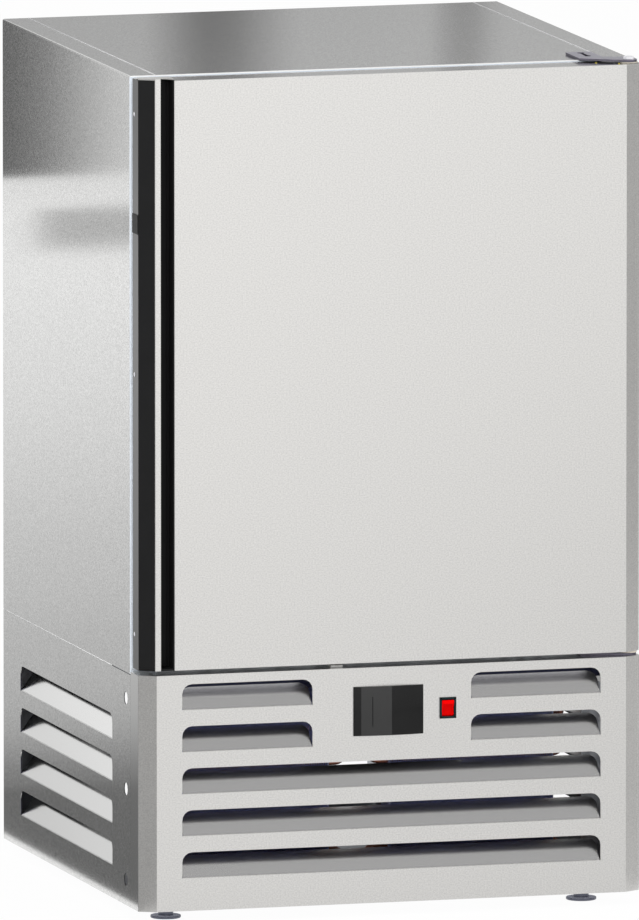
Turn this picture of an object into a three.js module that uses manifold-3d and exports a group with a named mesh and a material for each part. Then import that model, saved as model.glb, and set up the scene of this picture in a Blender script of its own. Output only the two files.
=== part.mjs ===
// Upright blast chiller for seven trays: insulated cabinet with one full-height
// door over a louvred machine compartment. Millimetres, +Z up, front towards -Y.
// Inside the model x runs from the left side, y back from the door's front face
// and z up from the floor; the outer group puts the origin under the middle.
import * as THREE from "three";
import { mergeVertices } from "three/addons/utils/BufferGeometryUtils.js";
import Module from "manifold-3d";

const wasm = await Module();
wasm.setup();

// ---- Driving dimensions ----
const width = 750;
const depth = 740; // door front to cabinet back
const proud = 6; // how far the controller face stands out of the front
const panelBottom = 20; // with the feet screwed right in
const panelTop = 362.5; // top of the lower front panel
const cabinetBottom = 359;
const cabinetTop = 1224;
const cabinetFront = 55; // cabinet face, behind the door
const doorBottom = 369.5;
const doorTop = 1222.2;
const doorDepth = 44;
const doorInset = 1; // the door's sides stand inside the cabinet's
const sheet = 1.2; // steel sheet of the skins
const gap = 0.3; // left between pieces that touch
const foldRadius = 2.5; // outside radius of the cabinet's folded edges
const flange = 38.3; // width of every folded return on the cabinet
const chamferX = 24; // bevelled vertical front corners
const chamferY = 14;

const cavity = { x0: 55, x1: 695, y0: 61.3, y1: 680, z0: 424, z1: 1164, radius: 12 };
const linerSheet = 1;

const sideSeam = 1.6; // open joint between the cabinet's sides and the lower sides
const louvre = { top: 349, pitch: 61, height: 37.2, radius: 14.5, tilt: 35, kerf: 1.2 };
const frontLouvre = { rows: 5, shortRows: 2, margin: 62, shortWidth: 194.5 };
const sideLouvre = { rows: 4, y0: 151, y1: 648 };
const sideHoles = { radius: 9.75, y: 79, heights: [321, 189, 57] };
const display = { x0: 317.3, x1: 421.8, z0: 263.6, z1: 335 };
const power = { x0: 446.4, x1: 470.9, z0: 284, z1: 314.7, rim: 3 };
const rockerTilt = 7; // either way from level

const hinge = { x: 735, y: 22, pinRadius: 5, plate: 3, tipRadius: 12 };
const groove = { mouthLeft: 30.9, right: 50.6, floor: 26, undercut: 12, back: 29 };
const trimLeft = 21.9; // left edge of the bright strip beside the grip
const handleRise = 2.9; // the handle's top end stands this far above the door skin
const rack = { levels: 7, pitch: 90, firstShelf: 500, reach: 125, y0: 70, y1: 465 };
const fanCentre = { x: 375, z: 794 };
const coverFront = 500;
const footSpots = { left: 59, right: 682, front: 78, back: 655 };
const condenser = { y0: 95, y1: 135, z0: 45, z1: 300, packs: [[90, 306], [400, 643]] };
const baffleX = 700; // plate that keeps the outgoing air off the right louvres
const condenserFans = [198, 521];
const condenserFanHeight = 172;
const compressorSpot = { x: 215, y: 450 };
const pipeHole = { x: 665, y: 642, radius: 28 };
const baseSheet = 2;
const baseFloor = panelBottom + sheet + baseSheet + 2 * gap; // top of the base frame's floor
const inletZ = condenser.z1 - 14; // gas enters the condenser here
const liquidLine = { x: 660, z: 60 };
const suctionEnd = { x: 628.5, z: 610 };
const liquidEnd = { x: 628.5, z: 540 };
const bendShift = sheet * 0.27; // how far an inside corner moves along a 30 degree bend

// ---- Materials ----
function finish(color, roughness, metalness) {
  return new THREE.MeshStandardMaterial({ color, roughness, metalness });
}
const steel = finish(0xd6d4d0, 0.35, 0.9);
const galvanised = finish(0xa9adb0, 0.5, 0.8);
const bracketSteel = finish(0x8e8e98, 0.4, 0.9);
const brightSteel = finish(0xe6e6ea, 0.2, 1);
const blackPlastic = finish(0x262626, 0.45, 0);
const greyRubber = finish(0x4a4b4d, 0.85, 0);
const paleNylon = finish(0xd9cdb8, 0.6, 0);
const foam = finish(0xe3d3a0, 0.95, 0);
const whitePlastic = finish(0xe9e9e6, 0.5, 0);
const darkEnamel = finish(0x1d1e20, 0.4, 0.3);
const finAluminium = finish(0x9aa0b0, 0.4, 0.9);
const copper = finish(0xb26a42, 0.35, 1);
const redPlastic = finish(0xd81010, 0.4, 0);
const tealBezel = finish(0x12302f, 0.5, 0);
const footSteel = finish(0x5a6070, 0.4, 0.8);

// ---- Solids ----
function toSolid(geometry) {
  const bare = geometry.clone();
  bare.deleteAttribute("normal");
  bare.deleteAttribute("uv");
  const merged = mergeVertices(bare, 1e-4);
  const vertProperties = new Float32Array(merged.attributes.position.array);
  const triVerts = new Uint32Array(merged.index.array);
  return new wasm.Manifold(new wasm.Mesh({ numProp: 3, vertProperties, triVerts }));
}

function toGeometry(solid) {
  const mesh = solid.getMesh();
  const geometry = new THREE.BufferGeometry();
  geometry.setAttribute("position", new THREE.BufferAttribute(mesh.vertProperties, 3));
  geometry.setIndex(new THREE.BufferAttribute(mesh.triVerts, 1));
  geometry.computeVertexNormals();
  return geometry;
}

function join(...solids) {
  return solids.reduce((whole, piece) => whole.add(piece));
}

function cut(solid, ...tools) {
  return tools.reduce((left, tool) => left.subtract(tool), solid);
}

function box(x0, x1, y0, y1, z0, z1) {
  const block = new THREE.BoxGeometry(x1 - x0, y1 - y0, z1 - z0);
  return toSolid(block.translate((x0 + x1) / 2, (y0 + y1) / 2, (z0 + z1) / 2));
}

function extrude(shape, length, curveSegments = 4) {
  return new THREE.ExtrudeGeometry(shape, { depth: length, bevelEnabled: false, curveSegments });
}

function outline(points) {
  return new THREE.Shape(points.map(([a, b]) => new THREE.Vector2(a, b)));
}

// A shape drawn in x and y, standing from z0 to z1.
function prismZ(shape, z0, z1, curveSegments) {
  return toSolid(extrude(shape, z1 - z0, curveSegments).translate(0, 0, z0));
}

// A shape drawn in x and z, running from y0 back to y1.
function prismY(shape, y0, y1, curveSegments) {
  return toSolid(extrude(shape, y1 - y0, curveSegments).rotateX(Math.PI / 2).translate(0, y1, 0));
}

// A shape drawn in y and z, running from x0 to x1.
function prismX(shape, x0, x1, curveSegments) {
  const turned = extrude(shape, x1 - x0, curveSegments).rotateX(Math.PI / 2).rotateZ(Math.PI / 2);
  return toSolid(turned.translate(x0, 0, 0));
}

function roundedRect(x0, x1, y0, y1, r) {
  const shape = new THREE.Shape();
  shape.moveTo(x0 + r, y0);
  shape.lineTo(x1 - r, y0);
  shape.absarc(x1 - r, y0 + r, r, -Math.PI / 2, 0);
  shape.lineTo(x1, y1 - r);
  shape.absarc(x1 - r, y1 - r, r, 0, Math.PI / 2);
  shape.lineTo(x0 + r, y1);
  shape.absarc(x0 + r, y1 - r, r, Math.PI / 2, Math.PI);
  shape.lineTo(x0, y0 + r);
  shape.absarc(x0 + r, y0 + r, r, Math.PI, Math.PI * 1.5);
  return shape;
}

function disc(x, y, r) {
  return new THREE.Shape().absarc(x, y, r, 0, Math.PI * 2);
}

// Solid of revolution about z; the profile is a list of [radius, height].
function turned(profile, segments = 24) {
  const points = profile.map(([r, z]) => new THREE.Vector2(r, z));
  return toSolid(new THREE.LatheGeometry(points, segments).rotateX(Math.PI / 2));
}

// Bar of given width and thickness reaching out along +x from inner to outer.
function spoke(inner, outer, across, z0, z1, angle) {
  return box(inner, outer, -across / 2, across / 2, z0, z1).rotate([0, 0, angle]);
}

// Round bar along a path.
function swept(radius, path, steps) {
  const section = disc(0, 0, radius);
  return toSolid(new THREE.ExtrudeGeometry(section, { steps, extrudePath: path, curveSegments: 3 }));
}

// Tube along straight runs whose corners are rounded by one bend radius.
function pipe(points, radius, bend, steps) {
  const corners = points.map((p) => new THREE.Vector3(...p));
  const path = new THREE.CurvePath();
  let from = corners[0];
  for (let i = 1; i < corners.length - 1; i += 1) {
    const before = corners[i - 1].clone().sub(corners[i]).setLength(bend).add(corners[i]);
    const after = corners[i + 1].clone().sub(corners[i]).setLength(bend).add(corners[i]);
    path.add(new THREE.LineCurve3(from, before));
    path.add(new THREE.QuadraticBezierCurve3(before, corners[i], after));
    from = after;
  }
  path.add(new THREE.LineCurve3(from, corners[corners.length - 1]));
  return swept(radius, path, steps);
}

// Ring between two upright rectangles; each profile point is [share of the way in, y].
function mitredRing(outer, inner, profile) {
  const positions = [];
  for (const [share, y] of profile) {
    const x0 = outer.x0 + (inner.x0 - outer.x0) * share;
    const x1 = outer.x1 + (inner.x1 - outer.x1) * share;
    const z0 = outer.z0 + (inner.z0 - outer.z0) * share;
    const z1 = outer.z1 + (inner.z1 - outer.z1) * share;
    positions.push(x0, y, z0, x1, y, z0, x1, y, z1, x0, y, z1);
  }
  const index = [];
  const count = profile.length;
  for (let p = 0; p < count; p += 1) {
    const next = (p + 1) % count;
    for (let c = 0; c < 4; c += 1) {
      const turn = (c + 1) % 4;
      const corners = [p * 4 + c, p * 4 + turn, next * 4 + turn, next * 4 + c];
      index.push(corners[0], corners[2], corners[1], corners[0], corners[3], corners[2]);
    }
  }
  const geometry = new THREE.BufferGeometry();
  geometry.setAttribute("position", new THREE.Float32BufferAttribute(positions, 3));
  geometry.setIndex(index);
  return toSolid(geometry);
}

const chiller = new THREE.Group();
chiller.position.set(-width / 2, -(depth - proud) / 2, 0);

function place(name, material, solid, x = 0, y = 0, z = 0, parent = chiller) {
  const mesh = new THREE.Mesh(toGeometry(solid), material);
  mesh.name = name;
  mesh.position.set(x, y, z);
  parent.add(mesh);
  return mesh;
}

// ---- Insulated cabinet ----
// The cabinet's block with its folded edges, shrunk by inset all round.
function cabinetBlock(inset) {
  const r = Math.max(foldRadius - inset, 0.4);
  const x0 = inset;
  const x1 = width - inset;
  const y0 = cabinetFront + inset;
  const y1 = depth - inset;
  const z0 = cabinetBottom + inset;
  const z1 = cabinetTop - inset;
  const far = 4 * foldRadius; // carries the roundings on unfolded edges outside the block
  const plan = prismZ(roundedRect(x0, x1, y0, y1 + far, r), z0, z1);
  const front = prismY(roundedRect(x0, x1, z0 - far, z1, r), y0, y1);
  const side = prismX(roundedRect(y0, y1 + far, z0 - far, z1, r), x0, x1);
  return plan.intersect(front).intersect(side);
}

function pipeWay(z0, z1) {
  return prismZ(disc(pipeHole.x, pipeHole.y, pipeHole.radius), z0, z1, 5);
}

function cabinetSkins() {
  const shell = cabinetBlock(0).subtract(cabinetBlock(sheet));
  const inner = flange + gap;
  const lowReturn = cabinetBottom + flange;
  const highReturn = cabinetTop - flange;
  const left = shell.intersect(box(-1, flange, 0, depth + 1, 0, cabinetTop + 1));
  const right = shell.intersect(box(width - flange, width + 1, 0, depth + 1, 0, cabinetTop + 1));
  const top = shell.intersect(box(inner, width - inner, 0, depth + 1, highReturn, cabinetTop + 1));
  const floor = shell.intersect(box(inner, width - inner, 0, depth + 1, 0, lowReturn));
  const back = box(inner, width - inner, depth - sheet, depth, lowReturn + gap, highReturn - gap);
  place("side_skin_left", steel, left);
  place("side_skin_right", steel, right);
  place("top_panel", steel, top);
  place("floor_pan", galvanised, floor.subtract(pipeWay(cabinetBottom - 1, lowReturn)));
  place("back_panel", galvanised, back);
}

function cavityPrism(grow, y0, y1) {
  const { x0, x1, z0, z1, radius } = cavity;
  return prismY(roundedRect(x0 - grow, x1 + grow, z0 - grow, z1 + grow, radius + grow), y0, y1, 2);
}

function insulatedBody() {
  const way = pipeWay(cabinetBottom, cavity.z0 + 1);
  const seat = box(flange, width - flange, 0, cavity.y0, cabinetBottom + flange, cabinetTop - flange);
  const hollow = cavityPrism(linerSheet + gap, 0, cavity.y1 + linerSheet + gap);
  place("foam_body", foam, cut(cabinetBlock(sheet + gap), seat, hollow, way));

  const shell = cavityPrism(linerSheet, cavity.y0, cavity.y1 + linerSheet);
  place("inner_liner", steel, cut(shell, cavityPrism(0, 0, cavity.y1), way));

  const inner = flange + gap;
  const outerEdge = { x0: inner, x1: width - inner, z0: cabinetBottom + inner, z1: cabinetTop - inner };
  const innerEdge = { x0: cavity.x0 + 1, x1: cavity.x1 - 1, z0: cavity.z0 + 1, z1: cavity.z1 - 1 };
  const back = cavity.y0 - gap;
  const profile = [[0, cabinetFront], [0, back], [1, back], [1, cabinetFront + 3], [0.85, cabinetFront]];
  place("breaker_frame", whitePlastic, mitredRing(outerEdge, innerEdge, profile));
}

// One side's tray rack: two uprights carrying an angle runner at each level.
function trayRack() {
  const wallSide = cavity.x0 + gap;
  const runnerBack = wallSide + 12;
  const foot = cavity.z0 + gap;
  const topRunner = rack.firstShelf + (rack.levels - 1) * rack.pitch;
  const [y0, y1] = [rack.y0 + 30, rack.y1 - 30];
  const low = foot + cavity.radius;
  let frame = join(
    box(wallSide, runnerBack, y0, y0 + 22, low, topRunner + 60),
    box(wallSide, runnerBack, y1 - 22, y1, low, topRunner + 60),
    box(runnerBack - 0.1, runnerBack + 14, y0, y1, foot, foot + 20),
    box(wallSide + 6, runnerBack + 14, y0, y1, low, foot + 20),
  );
  const reach = rack.reach - runnerBack;
  const angle = outline([[0, 26], [0, 0], [reach, 0], [reach, 1.6], [1.6, 1.6], [1.6, 26]]);
  const runner = prismY(angle, rack.y0, rack.y1).translate([runnerBack - 0.1, 0, rack.firstShelf]);
  for (let level = 0; level < rack.levels; level += 1) {
    frame = frame.add(runner.translate([0, 0, level * rack.pitch]));
  }
  return frame;
}

function trayRacks() {
  const left = trayRack();
  place("tray_rack_left", brightSteel, left);
  place("tray_rack_right", brightSteel, left.mirror([1, 0, 0]).translate([width, 0, 0]));
}

// ---- Fans ----
// Axial fan about z: domed hub, pitched blades swept like a propeller, shaft at the back.
function axialFan(blades, tipRadius, hubRadius, hubDepth, pitchAngle, shaftLength) {
  const chord = tipRadius * 0.62;
  const blade = new THREE.Shape();
  blade.moveTo(hubRadius - 6, -chord * 0.3);
  blade.quadraticCurveTo(tipRadius * 0.7, -chord * 0.62, tipRadius * 0.96, -chord * 0.38);
  blade.quadraticCurveTo(tipRadius * 1.02, chord * 0.1, tipRadius * 0.86, chord * 0.42);
  blade.quadraticCurveTo(tipRadius * 0.55, chord * 0.42, hubRadius - 6, chord * 0.3);
  const leaf = prismZ(blade, -1, 1, 3).rotate([pitchAngle, 0, 0]);
  const half = hubDepth / 2;
  const rim = hubRadius * 0.8;
  let fan = turned([[0, -half], [rim, -half], [hubRadius, -half + 5], [hubRadius, half], [0, half]], 16);
  for (let i = 0; i < blades; i += 1) {
    fan = fan.add(leaf.rotate([0, 0, (360 * i) / blades]));
  }
  const shaftEnd = half + shaftLength;
  return fan.add(turned([[0, half - 1], [4, half - 1], [4, shaftEnd], [0, shaftEnd]], 12));
}

// Motor can about z from z0 to z1, bored at its front for the fan's shaft.
function motorCan(radius, z0, z1) {
  const front = [[0, z0], [radius * 0.55, z0], [radius, z0 + 8]];
  const can = turned([...front, [radius, z1 - 3], [radius - 3, z1], [0, z1]], 16);
  return can.subtract(turned([[0, z0 - 1], [4.7, z0 - 1], [4.7, z0 + 18], [0, z0 + 18]], 12));
}

// Wire guard about z: concentric square wires on radial bars, dished hub plate.
function fanGuard(radii, hubRadius, outerRadius, wire, height) {
  let guard = turned([[0, 0], [hubRadius, 0], [hubRadius, wire], [0, wire]], 16);
  for (const r of radii) {
    guard = guard.add(turned([[r, 0], [r + wire, 0], [r + wire, wire], [r, wire], [r, 0]], 20));
  }
  for (let i = 0; i < 5; i += 1) {
    guard = guard.add(spoke(hubRadius - 4, outerRadius, wire, wire * 0.5, height, 72 * i + 90));
  }
  return guard;
}

// Turns a piece built about z so that its +z end points back along +y.
function faceBack(solid) {
  return solid.rotate([-90, 0, 0]);
}

// ---- Evaporator behind the trays ----
function evaporatorCover() {
  const [x0, x1] = [105, 645];
  const [z0, z1] = [cavity.z0 + gap, cavity.z1 - gap];
  const back = coverFront + 88;
  const pan = cut(
    box(x0, x1, coverFront, back, z0, z1),
    box(x0 + sheet, x1 - sheet, coverFront + sheet, back + 1, z0 + sheet, z1 - sheet),
    box(x0 + sheet, x1 - sheet, coverFront + 30, back + 1, z0 - 1, z1 + 1),
    prismY(disc(fanCentre.x, fanCentre.z, 150), coverFront - 1, coverFront + 5, 6),
  );
  const collar = turned([[149, 0], [152, 0], [152, 14], [150.5, 14], [150.5, 1.5], [149, 1.5], [149, 0]], 24);
  const seated = faceBack(collar).translate([fanCentre.x, coverFront, fanCentre.z]);
  place("evaporator_cover", steel, pan.add(seated));
}

function evaporatorFanSet() {
  const { x, z } = fanCentre;
  const guard = fanGuard([72, 112, 152], 34, 158, 4, 9);
  place("evaporator_fan_guard", blackPlastic, faceBack(guard), x, coverFront - gap - 9, z);
  const fan = axialFan(5, 142, 40, 30, 26, 20);
  place("evaporator_fan", blackPlastic, faceBack(fan), x, coverFront + 25, z);
  const motorFront = coverFront + 46;
  const motor = faceBack(motorCan(42, 0, 37)).translate([x, motorFront, z]);
  const barEnds = [105 + sheet + gap, 645 - sheet - gap];
  const bar = box(...barEnds, motorFront + 36.5, motorFront + 40, z - 20, z + 20);
  place("evaporator_motor", darkEnamel, motor.add(bar));
}

// Block of upright fins between y0 and y1, held by a thin web of tube rows.
function finPack(x0, x1, y0, y1, z0, z1, pitch) {
  const count = Math.round((x1 - x0) / pitch);
  const step = (x1 - x0) / count;
  const middle = (y0 + y1) / 2;
  const front = [];
  const back = [];
  for (let i = 0; i < count; i += 1) {
    const x = x0 + i * step;
    front.push([x, y0], [x + step * 0.35, y0], [x + step * 0.35, middle - 3], [x + step, middle - 3]);
    back.push([x, y1], [x + step * 0.35, y1], [x + step * 0.35, middle + 3], [x + step, middle + 3]);
  }
  return prismZ(outline([...front, ...back.reverse()]), z0, z1);
}

// Half-round return bend between two tube rows, opening towards -x.
function returnBend(x, y, zLow, zHigh, radius) {
  const middle = (zLow + zHigh) / 2;
  const reach = (zHigh - zLow) / 2;
  const arc = new THREE.CatmullRomCurve3([
    new THREE.Vector3(x - 2, y, zLow),
    new THREE.Vector3(x + 4, y, zLow),
    new THREE.Vector3(x + 4 + reach * 0.7, y, middle - reach * 0.7),
    new THREE.Vector3(x + 4 + reach, y, middle),
    new THREE.Vector3(x + 4 + reach * 0.7, y, middle + reach * 0.7),
    new THREE.Vector3(x + 4, y, zHigh),
    new THREE.Vector3(x - 2, y, zHigh),
  ]);
  return swept(radius, arc, 6);
}

function evaporatorCoil() {
  const [x0, x1, y0, y1, z0, z1] = [125, 625, coverFront + 92, 664, 470, 1118];
  let coil = finPack(x0, x1, y0, y1, z0, z1, 30);
  for (const x of [x0 - 3, x1]) {
    coil = coil.add(box(x, x + 3.2, y0 - 2, cavity.y1 - gap, z0 - 6, z1 + 6));
  }
  const rows = 5;
  const rowPitch = (z1 - z0) / rows;
  for (let row = 0; row < rows; row += 1) {
    const z = z0 + rowPitch * (row + 0.5);
    coil = coil.add(returnBend(x1 + 3, (y0 + y1) / 2, z - 14, z + 14, 5));
  }
  place("evaporator_coil", finAluminium, coil);
}

// ---- Base ----
function baseFrame() {
  const bottom = panelBottom + sheet + gap;
  const top = cabinetBottom - gap;
  const inside = sheet + gap + gap;
  const t = baseSheet;
  const postFront = cabinetFront + 0.5;
  const back = depth - sheet - gap;
  const stub = { length: 104, height: 22 }; // short rails under the cabinet's front corners
  let frame = join(
    box(inside, width - inside, postFront, back, bottom, bottom + t),
    box(chamferX + 4, width - chamferX - 4, 3, postFront + 1, bottom, bottom + t),
    box(inside, inside + t, postFront, back, bottom, bottom + 24),
    box(width - inside - t, width - inside, postFront, back, bottom, bottom + 24),
    box(inside, inside + t, postFront, postFront + stub.length, top - stub.height, top),
    box(width - inside - t, width - inside, postFront, postFront + stub.length, top - stub.height, top),
    box(inside, width - inside, back - t, back, bottom, bottom + 38),
    box(inside, width - inside, back - t, back, top - 38, top),
    box(16, width - 16, postFront - 4, postFront - 2, top - 30, panelTop - sheet - gap),
    box(16, width - 16, postFront - 4, postFront + t, top - 30, top - 27),
  );
  for (const y of [postFront, back - t]) {
    const along = y === postFront ? [y, y + 12] : [y + t - 12, y + t];
    frame = join(
      frame,
      box(inside, inside + 30, y, y + t, bottom, top),
      box(width - inside - 30, width - inside, y, y + t, bottom, top),
      box(inside, inside + t, ...along, bottom, top),
      box(width - inside - t, width - inside, ...along, bottom, top),
    );
  }
  for (const x of [footSpots.left, footSpots.right]) {
    for (const y of [footSpots.front, footSpots.back]) {
      frame = frame.subtract(prismZ(disc(x, y, 6.6), 0, 50, 4));
    }
  }
  place("base_frame", galvanised, frame);
}

function louvreBottom(row) {
  return louvre.top - row * louvre.pitch - louvre.height;
}

// Window outline from its bottom edge: round upper corners, square lower ones.
function louvreOutline(x0, x1) {
  const { height, radius } = louvre;
  const shape = new THREE.Shape();
  shape.moveTo(x0, 0);
  shape.lineTo(x1, 0);
  shape.lineTo(x1, height - radius);
  shape.absarc(x1 - radius, height - radius, radius, 0, Math.PI / 2);
  shape.lineTo(x0 + radius, height);
  shape.absarc(x0 + radius, height - radius, radius, Math.PI / 2, Math.PI);
  return shape;
}

// Cuts one window through a panel standing at y = 0 and bends its tongue inwards.
function addLouvre(panel, x0, x1, bottom) {
  const opening = prismY(louvreOutline(x0, x1), -1, sheet + 1, 2).translate([0, 0, bottom]);
  const leaf = louvreOutline(x0 + louvre.kerf, x1 - louvre.kerf);
  const tongue = prismY(leaf, 0, sheet, 2).rotate([-louvre.tilt, 0, 0]).translate([0, 0, bottom - 0.6]);
  const behind = box(x0, x1, 0, 60, bottom - 2, bottom + 60);
  return panel.subtract(opening).add(tongue.intersect(behind));
}

function lowerFrontPanel() {
  const returnEnd = cabinetFront - 1.3;
  const outside = outline([
    [0, returnEnd], [0, chamferY], [chamferX, 0],
    [width - chamferX, 0], [width, chamferY], [width, returnEnd],
  ]);
  const inside = outline([
    [sheet, returnEnd + 1], [sheet, chamferY + 2 * bendShift], [chamferX + bendShift, sheet],
    [width - chamferX - bendShift, sheet], [width - sheet, chamferY + 2 * bendShift],
    [width - sheet, returnEnd + 1],
  ]);
  let panel = cut(
    prismZ(outside, panelBottom, panelTop),
    prismZ(inside, panelBottom + sheet, panelTop - sheet),
    box(sheet, width - sheet, 20, returnEnd + 1, panelBottom - 1, panelBottom + 5),
  );
  const { rows, shortRows, margin, shortWidth } = frontLouvre;
  for (let row = 0; row < rows; row += 1) {
    const bottom = louvreBottom(row);
    if (row < shortRows) {
      panel = addLouvre(panel, margin, margin + shortWidth, bottom);
      panel = addLouvre(panel, width - margin - shortWidth, width - margin, bottom);
    } else {
      panel = addLouvre(panel, margin, width - margin, bottom);
    }
  }
  panel = cut(
    panel,
    box(display.x0 + 3.2, display.x1 - 3.2, -1, 5, display.z0 + 3.2, display.z1 - 3.2),
    box(power.x0 + 1.7, power.x1 - 1.7, -1, 5, power.z0 + 1.7, power.z1 - 1.7),
  );
  place("lower_front_panel", steel, panel);
}

// Built as a front panel at y = 0 running along x, then turned to the left side.
function lowerSidePanel() {
  const front = cabinetFront - 1;
  const top = cabinetBottom - sideSeam;
  let panel = cut(
    box(front, depth, 0, 15, panelBottom, top),
    box(front + sheet, depth - sheet, sheet, 16, panelBottom + sheet, top + 1),
  );
  for (let row = 1; row <= sideLouvre.rows; row += 1) {
    panel = addLouvre(panel, sideLouvre.y0, sideLouvre.y1, louvreBottom(row));
  }
  for (const z of sideHoles.heights) {
    panel = panel.subtract(prismY(disc(sideHoles.y, z, sideHoles.radius), -1, 5, 5));
  }
  return panel.mirror([1, -1, 0]);
}

function lowerSidePanels() {
  const left = lowerSidePanel();
  place("lower_side_left", steel, left);
  place("lower_side_right", steel, left.mirror([1, 0, 0]).translate([width, 0, 0]));
}

// Screw foot: round pad, sleeve and threaded stem rising through the base.
function feet() {
  const seat = panelBottom + sheet;
  const foot = turned([
    [0, 0], [20, 0], [22, 1.5], [22, 3.5], [13, 5.5], [11.3, 7], [11.3, seat], [6, seat], [6, 60], [0, 60],
  ], 14);
  for (const side of ["left", "right"]) {
    for (const end of ["front", "back"]) {
      place(`foot_${end}_${side}`, footSteel, foot, footSpots[side], footSpots[end]);
    }
  }
}

// ---- Refrigeration ----
function compressor() {
  const r = 84;
  const can = turned([
    [0, 38], [r * 0.7, 40], [r * 0.95, 56], [r, 80], [r, 138], [r + 2.5, 140], [r + 2.5, 146], [r, 148],
    [r, 190], [r * 0.93, 218], [r * 0.72, 238], [r * 0.4, 249], [0, 252],
  ], 18);
  let unit = join(can, box(-105, 105, -70, 70, 34, 38.5), box(-30, 30, r - 12, r + 26, 110, 180));
  const mount = turned([[0, baseFloor], [13, baseFloor], [10, 30], [13, 35], [0, 35]], 12);
  for (const x of [-90, 90]) {
    for (const y of [-55, 55]) {
      unit = unit.add(mount.translate([x, y, 0]));
    }
  }
  const port = turned([[0, 200], [7, 200], [7, 265], [0, 265]], 10);
  for (const x of [-55, 40]) {
    unit = unit.add(port.translate([x, 0, 0]));
  }
  place("compressor", darkEnamel, unit, compressorSpot.x, compressorSpot.y, 0);
}

function condenserCoil() {
  const { y0, y1, z0, z1, packs } = condenser;
  const middle = (y0 + y1) / 2;
  let coil = null;
  for (const [x0, x1] of packs) {
    let pack = finPack(x0, x1, y0, y1, z0, z1, 16);
    for (const x of [x0 - 2, x1 - 0.5]) {
      pack = pack.add(box(x, x + 2.5, y0 - 2, y1 + 2, baseFloor, z1 + 6));
    }
    coil = coil ? coil.add(pack) : pack;
  }
  const rows = 5;
  const pitch = (z1 - z0) / rows;
  const [leftPack, rightPack] = packs;
  for (let row = 0; row < rows; row += 1) {
    const z = z0 + pitch * (row + 0.5);
    for (const offset of [-12, 12]) {
      const link = prismX(disc(middle, z + offset, 5), leftPack[1] - 1, rightPack[0] + 1, 3);
      coil = coil.add(link);
    }
    coil = coil.add(returnBend(rightPack[1] + 1.5, middle, z - 12, z + 12, 5));
  }
  const inlet = prismX(disc(middle, inletZ, 5), 60, leftPack[0], 4);
  const outlet = prismY(disc(liquidLine.x, liquidLine.z, 5), middle - 5, y1 + 6, 4);
  const outletLink = prismX(disc(middle, liquidLine.z, 5), rightPack[1], liquidLine.x + 4, 4);
  place("condenser_coil", finAluminium, join(coil, inlet, outlet, outletLink));
}

function condenserShroud() {
  const front = condenser.y1 + 2 + gap;
  const [leftPack, rightPack] = condenser.packs;
  const plateTop = condenser.z1 + 8;
  let shroud = join(
    box(leftPack[0] - 4, rightPack[1] - 6, front, front + sheet, baseFloor, plateTop),
    box(leftPack[0] - 4, rightPack[1] - 6, front, front + 20, plateTop - sheet, plateTop),
    box(leftPack[0] - 4, rightPack[1] - 6, front, front + 20, baseFloor, baseFloor + sheet),
  );
  const baffle = join(
    box(rightPack[1] - 8, baffleX + sheet, front, front + sheet, baseFloor, baseFloor + 14),
    box(baffleX, baffleX + sheet, 30, front + sheet, baseFloor, plateTop + 12),
  );
  shroud = shroud.add(baffle);
  shroud = shroud.subtract(box(leftPack[1] + 9, rightPack[0] - 9, front - 1, front + 5, 60, 295));
  for (const x of condenserFans) {
    shroud = shroud.subtract(prismY(disc(x, condenserFanHeight, 98), front - 1, front + 5, 5));
    const collar = turned([[97, 0], [99, 0], [99, 16], [97, 16], [97, 0]], 20);
    shroud = shroud.add(faceBack(collar).translate([x, front, condenserFanHeight]));
  }
  place("condenser_shroud", galvanised, shroud);
}

function condenserFanSets() {
  const front = condenser.y1 + 2 + gap;
  condenserFans.forEach((x, i) => {
    const side = ["left", "right"][i];
    const fan = axialFan(5, 92, 26, 24, 24, 18);
    place(`condenser_fan_${side}`, blackPlastic, faceBack(fan), x, front + 24, condenserFanHeight);
    const can = faceBack(motorCan(33, 0, 46));
    const strap = join(
      box(-118, 118, 45, 48, -16, 16),
      box(-118, -115, -36.2, 48, -16, 16),
      box(115, 118, -36.2, 48, -16, 16),
    );
    place(`condenser_motor_${side}`, darkEnamel, can.add(strap), x, front + 38, condenserFanHeight);
  });
}

function pipework() {
  const { x, y } = compressorSpot;
  const inletY = (condenser.y0 + condenser.y1) / 2;
  const discharge = [
    [x - 55, y, 265 + gap], [x - 55, y, 325], [40, y, 325], [40, inletY, 325],
    [40, inletY, inletZ], [60 - gap, inletY, inletZ],
  ];
  place("discharge_pipe", copper, pipe(discharge, 5, 16, 44));
  const suctionX = pipeHole.x + 12;
  const suction = [
    [x + 40, y, 265 + gap], [x + 40, y, 335], [suctionX, y, 335], [suctionX, pipeHole.y, 335],
    [suctionX, pipeHole.y, suctionEnd.z], [suctionEnd.x, pipeHole.y, suctionEnd.z],
  ];
  place("suction_pipe", copper, pipe(suction, 7, 20, 46));
  const drierFront = condenser.y1 + 6 + gap;
  const liquidX = pipeHole.x - 12;
  const liquid = [
    [liquidLine.x, drierFront + 130 + gap, liquidLine.z], [liquidLine.x, 500, liquidLine.z],
    [liquidX, pipeHole.y, liquidLine.z], [liquidX, pipeHole.y, liquidEnd.z],
    [liquidEnd.x, pipeHole.y, liquidEnd.z],
  ];
  place("liquid_pipe", copper, pipe(liquid, 4, 14, 46));
  const drier = turned([[0, 0], [5, 0], [6, 14], [20, 28], [20, 102], [6, 116], [5, 130], [0, 130]], 16);
  place("filter_drier", copper, faceBack(drier), liquidLine.x, drierFront, liquidLine.z);
}

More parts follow.
